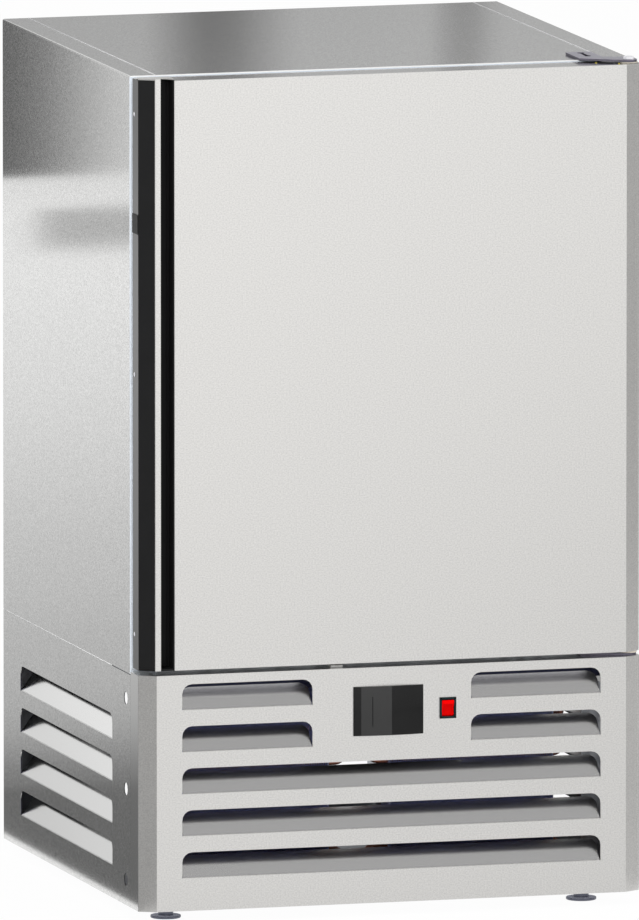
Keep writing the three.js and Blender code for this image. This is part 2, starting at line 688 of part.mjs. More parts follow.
// ---- Electrics ----
function controller() {
  const { x0, x1, z0, z1 } = display;
  place("controller_body", blackPlastic, box(x0 + 3.5, x1 - 3.5, 0, 50, z0 + 3.5, z1 - 3.5));
  const face = new THREE.Shape();
  face.moveTo(x0, -gap);
  face.lineTo(x0, -1.6);
  face.quadraticCurveTo((x0 + x1) / 2, 1.6 - 2 * proud, x1, -1.6);
  face.lineTo(x1, -gap);
  place("controller_face", blackPlastic, prismZ(face, z0, z1, 12));
}

function powerSwitch() {
  const { x0, x1, z0, z1, rim } = power;
  const cx = (x0 + x1) / 2;
  const cz = (z0 + z1) / 2;
  const well = cut(
    join(box(x0, x1, -1.8, -gap, z0, z1), box(x0 + 2, x1 - 2, -1, 24, z0 + 2, z1 - 2)),
    box(x0 + rim, x1 - rim, -3, 20, z0 + rim, z1 - rim),
  );
  place("switch_bezel", tealBezel, well);
  // Dished face over a pivot 6 behind the front; the upper half stands out at rest.
  const face = outline([[-8.5, 11.2], [-5, 0], [-8.5, -11.2], [6, -6.8], [6, 6.8]]);
  const halfWidth = (x1 - x0) / 2 - rim - 0.4;
  const rocker = prismX(face, -halfWidth, halfWidth).rotate([rockerTilt, 0, 0]);
  place("power_rocker", redPlastic, rocker, cx, 6, cz);
}

function electricalBox() {
  const [x0, x1, y0, y1] = [540, 640, 560, 700];
  const cover = box(x0 - 2, x1 + 2, y0 - 2, y1 + 2, 204, 208);
  place("electrical_box", galvanised, join(box(x0, x1, y0, y1, baseFloor, 205), cover));
  const gland = turned([[3.6, 0], [13, 0], [13, 8], [10, 10], [10, 22], [8, 27], [3.6, 27], [3.6, 0]], 12);
  place("mains_gland", blackPlastic, faceBack(gland), (x0 + x1) / 2, y1 + gap, 60);
}

// ---- Hinges ----
// Plate reaching over the pivot: a fixed leg on the cabinet and a round tip at the pin.
function bracketOutline(legs, startAngle) {
  const shape = new THREE.Shape();
  shape.moveTo(...legs[0]);
  legs.slice(1, legs.length - 2).forEach((point) => shape.lineTo(...point));
  shape.absarc(hinge.x, hinge.y, hinge.tipRadius, startAngle, 0);
  legs.slice(-2).forEach((point) => shape.lineTo(...point));
  return shape;
}

function hinges() {
  const { x, y, pinRadius, plate } = hinge;
  const tip = x + hinge.tipRadius;
  const frontAngle = (-122 * Math.PI) / 180; // where the slanting front edge meets the round tip
  const topOutline = bracketOutline([[706, 118], [669, 118], [669, 48], [tip, 46], [706, 57]], frontAngle);
  const bore = pinRadius + gap + 0.15;
  const slot = join(
    prismZ(disc(688, 71, 5.4), -5, 5, 4),
    prismZ(disc(688, 106, 5.4), -5, 5, 4),
    box(685.2, 690.8, 71, 106, -5, 5),
  );
  const hole = prismZ(disc(x, y, bore), -5, 5, 4);
  const topPlate = cut(prismZ(topOutline, 0, plate), slot, hole);
  place("top_hinge_bracket", bracketSteel, topPlate, 0, 0, cabinetTop + gap);
  const lowBack = cabinetFront - 0.6;
  const lowOutline = bracketOutline([[668, lowBack], [668, 36], [tip, lowBack], [700, lowBack]], frontAngle);
  const lowPlate = prismZ(lowOutline, 0, plate).subtract(hole);
  place("bottom_hinge_bracket", bracketSteel, lowPlate, 0, 0, panelTop + gap);

  const headBase = plate + 2 * gap;
  const topPin = turned([
    [0, -20], [pinRadius - 0.8, -20], [pinRadius, -19], [pinRadius, headBase], [8, headBase],
    [8, headBase + 2.4], [6.4, headBase + 3.6], [0, headBase + 4],
  ], 16);
  place("top_hinge_pin", brightSteel, topPin, x, y, cabinetTop);
  const lowPin = turned([[0, 0], [pinRadius, 0], [pinRadius, 24], [pinRadius - 0.8, 25], [0, 25]], 16);
  place("bottom_hinge_pin", brightSteel, lowPin, x, y, panelTop + gap);
  place("door_switch", whitePlastic, box(-9, 9, -6, 6, 0, 3), 296, 19, panelTop + gap);
}

// ---- Door ----
const doorHeight = doorTop - doorBottom;
const doorRight = width - doorInset;
const bush = { bore: 5.45, radius: 7.5, flange: 13, depth: 26, pocket: 8.1 };
const skinLeft = groove.right + gap;

// One pocket into each end of the door, round the hinge axis.
function bushPockets() {
  const ring = disc(hinge.x, hinge.y, bush.pocket);
  const deep = bush.depth + 4;
  return prismZ(ring, -1, deep, 8).add(prismZ(ring, doorHeight - deep, doorHeight + 1, 8));
}

function doorSkin(door) {
  const edgeX = doorRight - chamferX + 1;
  const left = doorInset + sheet + gap;
  const recess = groove.back + gap;
  const outside = outline([
    [left, doorDepth], [left, recess], [skinLeft, recess], [skinLeft, 0], [edgeX, 0],
    [doorRight, chamferY], [doorRight, doorDepth],
  ]);
  const inside = outline([
    [left + sheet, doorDepth + 1], [left + sheet, recess + sheet], [skinLeft + sheet, recess + sheet],
    [skinLeft + sheet, sheet], [edgeX - bendShift, sheet],
    [doorRight - sheet, chamferY + 2 * bendShift], [doorRight - sheet, doorDepth + 1],
  ]);
  const hollow = prismZ(inside, sheet, doorHeight - sheet);
  const skin = cut(prismZ(outside, 0, doorHeight), hollow, bushPockets());
  place("door_skin", steel, skin, 0, 0, 0, door);
}

// Tapered dam on the door's inner face, entering the cabinet's opening.
function dam(grow, y0, y1) {
  const margin = 66 - grow;
  const base = { x0: margin, x1: width - margin, z0: margin - 5.5, z1: doorHeight - margin + 7 };
  const taper = 6;
  const ring = [];
  for (const [y, inset] of [[y0, 0], [y1, taper]]) {
    ring.push(
      base.x0 + inset, y, base.z0 + inset, base.x1 - inset, y, base.z0 + inset,
      base.x1 - inset, y, base.z1 - inset, base.x0 + inset, y, base.z1 - inset,
    );
  }
  const index = [0, 1, 2, 0, 2, 3, 4, 6, 5, 4, 7, 6];
  for (let c = 0; c < 4; c += 1) {
    const next = (c + 1) % 4;
    index.push(c, c + 4, next + 4, c, next + 4, next);
  }
  const geometry = new THREE.BufferGeometry();
  geometry.setAttribute("position", new THREE.Float32BufferAttribute(ring, 3));
  geometry.setIndex(index);
  return toSolid(geometry);
}

function doorInside(door) {
  const linerFront = doorDepth + gap;
  const linerBack = linerFront + linerSheet;
  const damBack = cabinetFront + 4;
  const edge = doorInset + 2;
  const plate = box(edge, doorRight - 2, linerFront, linerBack, 2, doorHeight - 2);
  const hollow = dam(-linerSheet, linerFront - 1, damBack - linerSheet);
  const liner = plate.add(dam(0, linerFront, damBack)).subtract(hollow);
  place("door_liner", steel, liner, 0, 0, 0, door);

  const inset = sheet + gap;
  const edgeX = doorRight - chamferX + 1 - 2 * bendShift;
  const left = doorInset + 2 * inset;
  const recess = groove.back + gap + inset;
  const block = outline([
    [left, recess], [skinLeft + inset, recess], [skinLeft + inset, inset], [edgeX, inset],
    [doorRight - inset, chamferY + 3 * bendShift], [doorRight - inset, doorDepth], [left, doorDepth],
  ]);
  const filling = dam(-linerSheet - gap, doorDepth - 1, damBack - linerSheet - gap);
  const core = prismZ(block, inset, doorHeight - inset).add(filling);
  place("door_core", foam, core.subtract(bushPockets()), 0, 0, 0, door);

  const ringBottom = cabinetBottom + 18 - doorBottom;
  const ringTop = cabinetTop - 18 - doorBottom;
  const outer = { x0: 18, x1: width - 18, z0: ringBottom, z1: ringTop };
  const inner = { x0: 36, x1: width - 36, z0: ringBottom + 18, z1: ringTop - 18 };
  const [near, far] = [linerBack + gap, cabinetFront - gap];
  const bellows = [
    [0.15, near], [0.1, near + 2], [0, near + 4], [0.12, near + 5.6], [0.12, far],
    [0.88, far], [0.88, near + 5.6], [1, near + 4], [0.9, near + 2], [0.85, near],
  ];
  place("door_gasket", greyRubber, mitredRing(outer, inner, bellows), 0, 0, 0, door);
}

// Black grip section: bevelled outer face, lip for the trim and a finger groove behind it.
function gripOutline() {
  const { mouthLeft, right, floor, undercut, back } = groove;
  const seat = sheet + gap;
  return outline([
    [doorInset + seat, back], [doorInset + seat, chamferY + gap], [doorInset, chamferY], [trimLeft, seat],
    [mouthLeft, seat], [mouthLeft, 4.5], [mouthLeft - 3, 6.5], [undercut + 6, 9], [undercut, 15],
    [undercut, floor - 4], [undercut + 4, floor], [right - 5.6, floor], [right - 1.6, floor - 4],
    [right - 1.6, 0.4], [right, 0.4], [right, back],
  ]);
}

// Plate closing one end of the grip; its front edge slants back across the finger groove.
function gripCap(setback, z0, z1) {
  const { mouthLeft, right, back } = groove;
  const seat = sheet + gap;
  const plate = outline([
    [doorInset + seat, back], [doorInset + seat, chamferY + gap], [doorInset, chamferY], [trimLeft, seat],
    [mouthLeft, seat], [mouthLeft, seat + setback], [right, seat], [right, back],
  ]);
  return prismZ(plate, z0, z1);
}

function handle(door) {
  const lowCap = 2.6;
  const topCap = 1.8;
  const top = doorHeight + handleRise;
  const grip = prismZ(gripOutline(), lowCap + gap, top - topCap - gap);
  place("handle_grip", blackPlastic, grip, 0, 0, 0, door);
  place("handle_cap_top", steel, gripCap(15.5, top - topCap, top), 0, 0, 0, door);
  place("handle_cap_bottom", blackPlastic, gripCap(0.5, 0, lowCap), 0, 0, 0, door);
  const { mouthLeft } = groove;
  const strip = outline([[trimLeft, sheet], [trimLeft + 0.5, 0], [mouthLeft - 0.5, 0], [mouthLeft, sheet]]);
  place("handle_trim", steel, prismZ(strip, 0, top), 0, 0, 0, door);
}

function doorEdge(door) {
  const front = chamferY + 2 * gap;
  const screwY = 34;
  const screwHeights = [-376, 0, 376].map((offset) => doorHeight / 2 + offset);
  const lockBottom = 1000 - doorBottom;
  const lock = { z0: lockBottom, z1: lockBottom + 28, y0: front + 0.3, y1: doorDepth - 0.6 };
  let strip = box(doorInset, doorInset + sheet, front, doorDepth, 0, doorHeight);
  for (const z of screwHeights) {
    strip = strip.subtract(prismX(disc(screwY, z, 2.4), 0, 5, 3));
  }
  strip = strip.subtract(box(0, 5, lock.y0 + 6, lock.y1 - 6, lock.z0 + 6, lock.z1 - 6));
  place("door_edge", steel, strip, 0, 0, 0, door);
  const cover = join(
    box(doorInset - 0.95, doorInset - gap, lock.y0, lock.y1, lock.z0, lock.z1),
    box(doorInset - 0.5, doorInset + sheet, lock.y0 + 6.4, lock.y1 - 6.4, lock.z0 + 6.4, lock.z1 - 6.4),
  );
  place("lock_cover", blackPlastic, cover, 0, 0, 0, door);
  const screw = turned([[0, 0.05], [2.2, 0.05], [3.4, 0.65], [2, 0.7], [2, 2.1], [0, 2.1]], 12);
  screwHeights.forEach((z, i) => {
    place(`door_screw_${i + 1}`, brightSteel, screw.rotate([0, 90, 0]), 0, screwY, z, door);
  });
}

// Flanged nylon sleeves, one hung in each end of the door.
function doorBushes(door) {
  const { bore, radius, depth: deep } = bush;
  const top = turned([
    [bore, -deep], [radius, -deep], [radius, gap], [bush.flange, gap], [bush.flange, 1.5],
    [bore, 1.5], [bore, -deep],
  ], 16);
  place("door_bush_top", paleNylon, top, hinge.x, hinge.y, doorHeight, door);
  const low = turned([
    [bore, -3.1], [bush.flange, -3.1], [bush.flange, -gap], [radius, -gap], [radius, deep],
    [bore, deep], [bore, -3.1],
  ], 16);
  place("door_bush_bottom", paleNylon, low, hinge.x, hinge.y, 0, door);
}

cabinetSkins();
insulatedBody();
trayRacks();
evaporatorCover();
evaporatorFanSet();
evaporatorCoil();
baseFrame();
lowerFrontPanel();
lowerSidePanels();
feet();
compressor();
condenserCoil();
condenserShroud();
condenserFanSets();
pipework();
controller();
powerSwitch();
electricalBox();
hinges();

const door = new THREE.Group();
door.position.z = doorBottom;
chiller.add(door);
doorSkin(door);
doorInside(door);
handle(door);
doorEdge(door);
doorBushes(door);

export default chiller;
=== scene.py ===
"""Looks of an upright blast chiller: brushed steel skins, finned coils, piping, fans and the studio."""

import math

import bmesh
import bpy
from mathutils import Matrix, Vector


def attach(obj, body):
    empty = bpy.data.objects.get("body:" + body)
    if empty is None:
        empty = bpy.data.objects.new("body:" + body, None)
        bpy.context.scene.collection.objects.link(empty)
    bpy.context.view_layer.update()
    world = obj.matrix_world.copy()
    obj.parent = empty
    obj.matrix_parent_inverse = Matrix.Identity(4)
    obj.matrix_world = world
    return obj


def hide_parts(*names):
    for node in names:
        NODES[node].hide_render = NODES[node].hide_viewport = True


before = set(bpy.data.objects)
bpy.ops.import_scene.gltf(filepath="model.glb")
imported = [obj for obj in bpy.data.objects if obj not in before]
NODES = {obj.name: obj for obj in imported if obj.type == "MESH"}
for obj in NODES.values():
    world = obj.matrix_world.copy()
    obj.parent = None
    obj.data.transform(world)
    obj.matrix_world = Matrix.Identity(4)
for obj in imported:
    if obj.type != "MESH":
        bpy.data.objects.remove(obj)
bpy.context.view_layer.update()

# ---- Places in millimetres: x from the left side, y back from the front, z up from the floor ----
MM = 0.001
ORIGIN = {"x": 375, "y": 367, "z": 0}  # the frame's origin
TO_FRAME = Matrix.Scale(MM, 4) @ Matrix.Translation([-place for place in ORIGIN.values()])
FACE_BACK = Matrix.Rotation(math.radians(-90), 4, "X")  # turns +z to +y

WIDTH = 750
DEPTH = 740
SHEET = 1.2
CABINET_FRONT = 55
CABINET_TOP = 1224
DOOR_TOP = 1222.2
PANEL_TOP = 362.5  # of the lower front panel
LOWER_SIDE_TOP = 357.4
SIDE_SKIN_BOTTOM = 359
BEVEL = 24  # across the front panel's upright corners
GRIP_RIGHT = 50.6
SIDE_LOUVRE_BACK = 648
BRACKET_TOP = 1227.3
BASE_FLOOR = 23.8
FEET = {"left": 59, "right": 682, "front": 78, "back": 655}
DISPLAY = {"x0": 317.3, "x1": 421.8, "z0": 263.6, "z1": 335, "edge": -1.6, "crown": -6.0}
SWITCH = {"x0": 446.4, "x1": 470.9, "z0": 284, "z1": 314.7, "rim": 3}
CONDENSER = {
    "packs": [(90, 306), (400, 643)], "y0": 95, "y1": 135, "z0": 45, "z1": 300, "fin_top": 334,
    "fin_pitch": 2.6, "inlet_z": 286, "outlet_x": 660, "outlet_z": 60,
}
CONDENSER_MIDDLE = (CONDENSER["y0"] + CONDENSER["y1"]) / 2
EVAPORATOR = {
    "x0": 125, "x1": 625, "y0": 592, "y1": 664, "z0": 470, "z1": 1118, "fin_top": 1118,
    "fin_pitch": 5, "plate_back": 679.6,
}
FAN_CENTRE = (375, 794)
COMPRESSOR = (215, 450)
DISCHARGE_X, SUCTION_X = -55, 40  # pipe stubs, from the compressor's middle
CONDENSER_FANS = {"left": 198, "right": 521}
CONDENSER_FAN_HEIGHT = 172

# ---- View, in metres ----
VIEW_AZIMUTH = math.radians(-15.992)
VIEW_ELEVATION = math.radians(7.978)
VIEW_DISTANCE = 44.16
VIEW_LENS = 1194  # millimetres
FAR_CLIP = 500
METRES_PER_PX = 0.00144659
CENTRE_OFFSET_PX = (1.165, 6.799)  # right of and above the photograph's middle
AIM = Vector((0, 0.0045, 0.622))

# Scale of the polishing's grain along each axis. The smallest draws it out: x in front, y at the sides.
FRONT_GRAIN = (0.9, 1.2, 1.2)
SIDE_GRAIN = (1.2, 0.9, 1.2)
EVEN_GRAIN = (1, 1, 1)
SATIN = (0.80, 0.79, 0.77)
POLISHED = (0.73, 0.73, 0.72)
MIX_SOCKETS = {"RGBA": (6, 7, 2), "FLOAT": (2, 3, 0)}  # a mix node's first input, second input and output


# ---- Shader helpers ----
class Surface:
    """One surface material and short ways to feed its shader's sockets."""

    def __init__(self, name, colour, roughness, metallic=0.0):
        self.material = bpy.data.materials.new(name)
        self.material.use_nodes = True
        self.tree = self.material.node_tree
        self.shader = self.tree.nodes["Principled BSDF"]
        self.shader.inputs["Base Color"].default_value = (*colour, 1)
        self.shader.inputs["Roughness"].default_value = roughness
        self.shader.inputs["Metallic"].default_value = metallic
        self.colour = colour
        self.roughness = roughness
        self.place = self.tree.nodes.new("ShaderNodeTexCoord").outputs["Object"]

    def node(self, kind, **settings):
        made = self.tree.nodes.new(kind)
        for key, value in settings.items():
            setattr(made, key, value)
        return made

    def link(self, source, target):
        self.tree.links.new(source, target)

    def stretched(self, stretch):
        mapping = self.node("ShaderNodeMapping")
        mapping.inputs["Scale"].default_value = stretch
        self.link(self.place, mapping.inputs["Vector"])
        return mapping.outputs["Vector"]

    def noise(self, scale, stretch=EVEN_GRAIN, roughness=0.5):
        texture = self.node("ShaderNodeTexNoise")
        texture.inputs["Scale"].default_value = scale
        texture.inputs["Roughness"].default_value = roughness
        self.link(self.stretched(stretch), texture.inputs["Vector"])
        return texture.outputs["Fac"]

    def cells(self, scale):
        texture = self.node("ShaderNodeTexVoronoi")
        texture.inputs["Scale"].default_value = scale
        self.link(self.place, texture.inputs["Vector"])
        return texture.outputs["Color"]

    def spread(self, value, low, high):
        """Runs from low to high as value runs 0.3 to 0.7, where most of a noise lies."""
        remap = self.node("ShaderNodeMapRange")
        remap.inputs["From Min"].default_value = 0.3
        remap.inputs["From Max"].default_value = 0.7
        remap.inputs["To Min"].default_value = low
        remap.inputs["To Max"].default_value = high
        self.link(value, remap.inputs["Value"])
        return remap.outputs["Result"]

    def vary_colour(self, value, amount):
        """Colour runs from a little darker than the base to a little lighter, by this share of it."""
        mix = self.node("ShaderNodeMix", data_type="RGBA")
        mix.inputs["A"].default_value = (*(c * (1 - amount) for c in self.colour), 1)
        mix.inputs["B"].default_value = (*(min(1, c * (1 + amount)) for c in self.colour), 1)
        self.link(self.spread(value, 0, 1), mix.inputs["Factor"])
        self.link(mix.outputs["Result"], self.shader.inputs["Base Color"])

    def vary_roughness(self, value, amount):
        low, high = self.roughness - amount, self.roughness + amount
        self.link(self.spread(value, low, high), self.shader.inputs["Roughness"])

    def bump(self, value, height, strength):
        node = self.node("ShaderNodeBump")
        node.inputs["Strength"].default_value = strength
        node.inputs["Distance"].default_value = height
        self.link(value, node.inputs["Height"])
        self.link(node.outputs["Normal"], self.shader.inputs["Normal"])
        return self

    def set(self, **values):
        for name, value in values.items():
            self.shader.inputs[name.replace("_", " ")].default_value = value

    def multiply(self, first, second):
        product = self.node("ShaderNodeMath", operation="MULTIPLY")
        self.link(first, product.inputs[0])
        self.link(second, product.inputs[1])
        return product.outputs["Value"]

    def zone(self, **limits):
        """1 where each place lies between its two limits, and 0 elsewhere; None is no limit."""
        split = self.node("ShaderNodeSeparateXYZ")
        self.link(self.place, split.inputs["Vector"])
        total = None
        for axis, pair in limits.items():
            for operation, limit in zip(("GREATER_THAN", "LESS_THAN"), pair):
                if limit is None:
                    continue
                test = self.node("ShaderNodeMath", operation=operation)
                test.inputs[1].default_value = (limit - ORIGIN[axis]) * MM
                self.link(split.outputs[axis.upper()], test.inputs[0])
                total = self.multiply(total, test.outputs["Value"]) if total else test.outputs["Value"]
        return total

    def override(self, where, **values):
        """Sockets take these values where the zone is 1 and keep what they had elsewhere."""
        for name, value in values.items():
            socket = self.shader.inputs[name.replace("_", " ")]
            kind = "RGBA" if isinstance(value, tuple) else "FLOAT"
            mix = self.node("ShaderNodeMix", data_type=kind)
            first, second, output = MIX_SOCKETS[kind]
            if socket.is_linked:
                self.link(socket.links[0].from_socket, mix.inputs[first])
            else:
                mix.inputs[first].default_value = socket.default_value
            mix.inputs[second].default_value = (*value, 1) if kind == "RGBA" else value
            self.link(where, mix.inputs["Factor"])
            self.link(mix.outputs[output], socket)
        return self


def around(place, reach):
    """The two places this far off, on both sides."""
    return place - reach, place + reach


def brushed(name, colour, roughness, grain=EVEN_GRAIN, metallic=1.0, depth=0.11):
    """Brushed metal; grain draws the polishing out, and depth is how much the colour varies."""
    s = Surface(name, colour, roughness, metallic)
    fine = s.noise(470, grain, roughness=0.55)
    s.vary_colour(fine, depth)
    s.vary_roughness(fine, 0.02)
    return s.bump(fine, 0.00003, 0.12)


def moulded(name, colour, roughness, texture=0.00003, specular=0.5):
    """Plastic, rubber, foam or paint, with fine pits as deep as texture says, in metres."""
    s = Surface(name, colour, roughness)
    pits = s.noise(900)
    s.vary_colour(s.noise(25), 0.06)
    s.vary_roughness(pits, 0.05)
    s.set(Specular_IOR_Level=specular)
    return s.bump(pits, texture, 0.3)


def door_steel():
    """The door's finish, polished like the sides on its top end."""
    s = brushed("door_steel", SATIN, 0.30, FRONT_GRAIN)
    top_end = s.zone(x=(GRIP_RIGHT + 0.1, None), z=around(DOOR_TOP, 0.4))
    return s.override(top_end, Base_Color=(0.70, 0.70, 0.69), Roughness=0.13)


def base_steel():
    """The front panel's finish with polished side returns; the pale tongues are a painted highlight, the
    dark inner face and top return painted shade.
    """
    s = brushed("base_steel", SATIN, 0.30, FRONT_GRAIN)
    between_bevels = (BEVEL + 0.5, WIDTH - BEVEL - 0.5)
    # Tongues painted paler than the panel: painted highlight.
    tongue_highlight = s.zone(x=between_bevels, y=(SHEET + 0.05, ORIGIN["y"]))
    s.override(tongue_highlight, Base_Color=(0.93, 0.925, 0.92), Roughness=0.2)
    # Inner face painted dark: painted shade.
    inner_face_shade = s.zone(x=between_bevels, y=around(SHEET, 0.1))
    s.override(inner_face_shade, Base_Color=(0.4, 0.4, 0.42))
    under_top = around(PANEL_TOP - SHEET, 0.4)
    # Return under the panel's top painted darker: painted shade.
    top_return_shade = s.zone(x=between_bevels, y=(SHEET + 0.1, CABINET_FRONT + 2), z=under_top)
    s.override(top_return_shade, Base_Color=(0.58, 0.58, 0.60))
    for side in (0, WIDTH):
        s.override(s.zone(x=around(side, 0.5)), Base_Color=POLISHED, Roughness=0.13)
    return s


def side_steel():
    """Polished skins; the pale matt rim round the door and the pale tongues are painted highlights, the
    dark inner faces and louvre ends painted shade.
    """
    s = brushed("side_steel", POLISHED, 0.13, SIDE_GRAIN, depth=0.26)
    # Rim round the door and the top panel's front fold painted pale: painted highlight of their bent
    # edges.
    rim_depth = (None, CABINET_FRONT + 2)
    rim = s.zone(y=rim_depth, z=(SIDE_SKIN_BOTTOM - 0.5, None))
    s.override(rim, Base_Color=(0.82, 0.88, 0.95), Metallic=0.1, Roughness=0.4)
    top_rim = s.zone(y=rim_depth, z=(CABINET_TOP - 1.4, None))
    s.override(top_rim, Base_Color=(0.98, 0.98, 0.98))
    lower_sides = (0, LOWER_SIDE_TOP - 0.1)
    # Tongues of the lower sides painted pale: painted highlight.
    tongue_highlight = s.zone(x=(SHEET + 0.1, WIDTH - SHEET - 0.1), z=lower_sides)
    s.override(tongue_highlight, Base_Color=(0.97, 0.97, 0.96))
    # Inner faces of the lower sides painted dark: painted shade.
    for face in (SHEET, WIDTH - SHEET):
        s.override(s.zone(x=around(face, 0.05), z=lower_sides), Base_Color=(0.15, 0.15, 0.15))
    # Back ends of the louvre slots painted dark: painted shade.
    cut_end_shade = s.zone(x=(0.05, WIDTH - 0.05), y=around(SIDE_LOUVRE_BACK, 0.5), z=lower_sides)
    return s.override(cut_end_shade, Base_Color=(0.1, 0.1, 0.13), Roughness=0.4)


def bracket_steel():
    """Dark hinge plates, lighter on the upper one's flat."""
    s = brushed("bracket_steel", (0.17, 0.16, 0.20), 0.4)
    return s.override(s.zone(z=(BRACKET_TOP - 0.2, None)), Base_Color=(0.42, 0.41, 0.47))


def display_plastic():
    """Smoked front of the controller; the lighter strip between its two dark ends is a painted reflection
    of its bowed face.
    """
    s = moulded("display_plastic", (0.012, 0.012, 0.012), 0.10, 0.000005, specular=0.18)
    # Lighter strip across the face: painted reflection.
    reflection_strip = s.zone(x=(DISPLAY["x0"] + 11, DISPLAY["x0"] + 56))
    return s.override(reflection_strip, Base_Color=(0.043, 0.043, 0.043))


def bezel_plastic():
    """Dark green frame of the rocker, black at its four corners."""
    s = moulded("teal_plastic", (0.004, 0.018, 0.020), 0.45, specular=0.15)
    for x in (SWITCH["x0"], SWITCH["x1"]):
        for z in (SWITCH["z0"], SWITCH["z1"]):
            corner = s.zone(x=around(x, SWITCH["rim"]), z=around(z, SWITCH["rim"]))
            s.override(corner, Base_Color=(0.001, 0.001, 0.001))
    return s


def rocker_plastic():
    """Bright red key whose lower part is painted darker inside a bright border: painted shade."""
    s = moulded("red_plastic", (0.97, 0.0, 0.0), 0.5, specular=0.02)
    # Lower part painted darker inside its border: painted shade.
    lens = s.zone(x=(SWITCH["x0"] + 5.4, SWITCH["x1"] - 5.3), z=(SWITCH["z0"] + 5.7, SWITCH["z1"] - 9.8))
    return s.override(lens, Base_Color=(0.66, 0.0, 0.0))


def foot_steel():
    """Dark feet whose pads are painted pale on their upper faces: a painted reflection."""
    s = brushed("foot_steel", (0.13, 0.135, 0.17), 0.35)
    # Pads' upper faces painted pale: painted reflection.
    return s.override(s.zone(z=(3.5, 3.85)), Base_Color=(0.75, 0.75, 0.85), Metallic=0.0, Roughness=0.6)


def zinc_sheet():
    """Spangled zinc; the plate behind the top louvres is painted dark blue as painted shade."""
    s = Surface("zinc_sheet", (0.40, 0.415, 0.44), 0.42, 0.9)
    spangle = s.cells(70)
    s.vary_colour(spangle, 0.08)
    s.vary_roughness(spangle, 0.08)
    # Plate behind the top louvres painted dark blue: painted shade.
    plate = s.zone(x=(15.5, WIDTH - 15.5), y=(CABINET_FRONT - 3.7, CABINET_FRONT - 1.3), z=(328.5, 361.2))
    return s.override(plate, Base_Color=(0.05, 0.055, 0.12), Metallic=0.2, Roughness=0.5)


def make_materials():
    made = {
        "door": door_steel(),
        "base": base_steel(),
        "side": side_steel(),
        "edge": brushed("edge_strip", (0.22, 0.22, 0.22), 0.38, SIDE_GRAIN),
        "liner": brushed("liner_steel", (0.72, 0.72, 0.72), 0.28, SIDE_GRAIN),
        "zinc": zinc_sheet(),
        "bracket": bracket_steel(),
        "bright": brushed("bright_steel", (0.80, 0.80, 0.83), 0.14),
        "pin": brushed("pin_head", (0.90, 0.90, 0.97), 0.35, metallic=0.2),
        "foot": foot_steel(),
        "black": moulded("black_plastic", (0.013, 0.013, 0.0135), 0.42, specular=0.12),
        "gloss": display_plastic(),
        "white": moulded("white_plastic", (0.80, 0.80, 0.78), 0.45),
        "nylon": moulded("pale_nylon", (0.70, 0.64, 0.55), 0.5),
        "red": rocker_plastic(),
        "teal": bezel_plastic(),
        # Pale bead on the top joints: painted highlight.
        "seam_highlight": moulded("seam_highlight_bead", (0.72, 0.72, 0.73), 0.5),
        # White bead in the side joints: painted light.
        "side_seam_light": moulded("side_seam_light", (1.0, 1.0, 1.0), 0.5),
        "rubber": moulded("grey_rubber", (0.045, 0.048, 0.042), 0.75, 0.00006),
        "foam": moulded("foam", (0.75, 0.64, 0.38), 0.9, 0.0004),
        "enamel": moulded("dark_enamel", (0.012, 0.012, 0.014), 0.3, 0.00008),
        "fins": brushed("fin_aluminium", (0.55, 0.58, 0.88), 0.5, metallic=0.2),
        "copper": brushed("copper", (0.50, 0.20, 0.13), 0.32, metallic=0.8),
        "brass": brushed("screw_brass", (0.75, 0.62, 0.12), 0.3),
    }
    made["enamel"].set(Coat_Weight=0.3, Coat_Roughness=0.15)
    return {key: surface.material for key, surface in made.items()}


MATERIALS = make_materials()
NODE_LOOKS = {
    "door": ["door_skin", "handle_trim", "handle_cap_top"],
    "base": ["lower_front_panel"],
    "side": ["side_skin_left", "side_skin_right", "top_panel", "lower_side_left", "lower_side_right"],
    "edge": ["door_edge"],
    "liner": ["inner_liner", "door_liner", "evaporator_cover"],
    "zinc": ["floor_pan", "back_panel", "base_frame", "condenser_shroud", "electrical_box"],
    "bracket": ["top_hinge_bracket", "bottom_hinge_bracket"],
    "bright": ["tray_rack_left", "tray_rack_right"],
    "pin": ["top_hinge_pin", "bottom_hinge_pin", "door_screw_1", "door_screw_2", "door_screw_3"],
    "foot": ["foot_front_left", "foot_front_right", "foot_back_left", "foot_back_right"],
    "black": ["evaporator_fan_guard", "evaporator_fan", "condenser_fan_left", "condenser_fan_right",
              "controller_body", "mains_gland", "handle_grip", "handle_cap_bottom", "lock_cover"],
    "gloss": ["controller_face"],
    "white": ["breaker_frame", "door_switch"],
    "nylon": ["door_bush_top", "door_bush_bottom"],
    "red": ["power_rocker"],
    "teal": ["switch_bezel"],
    "rubber": ["door_gasket"],
    "foam": ["foam_body", "door_core"],
    "enamel": ["evaporator_motor", "compressor", "condenser_motor_left", "condenser_motor_right"],
    "fins": ["evaporator_coil", "condenser_coil"],
    "copper": ["discharge_pipe", "suction_pipe", "liquid_pipe", "filter_drier"],
}


def dress_nodes():
    for look, names in NODE_LOOKS.items():
        for name in names:
            mesh = NODES[name].data
            mesh.materials.clear()
            mesh.materials.append(MATERIALS[look])


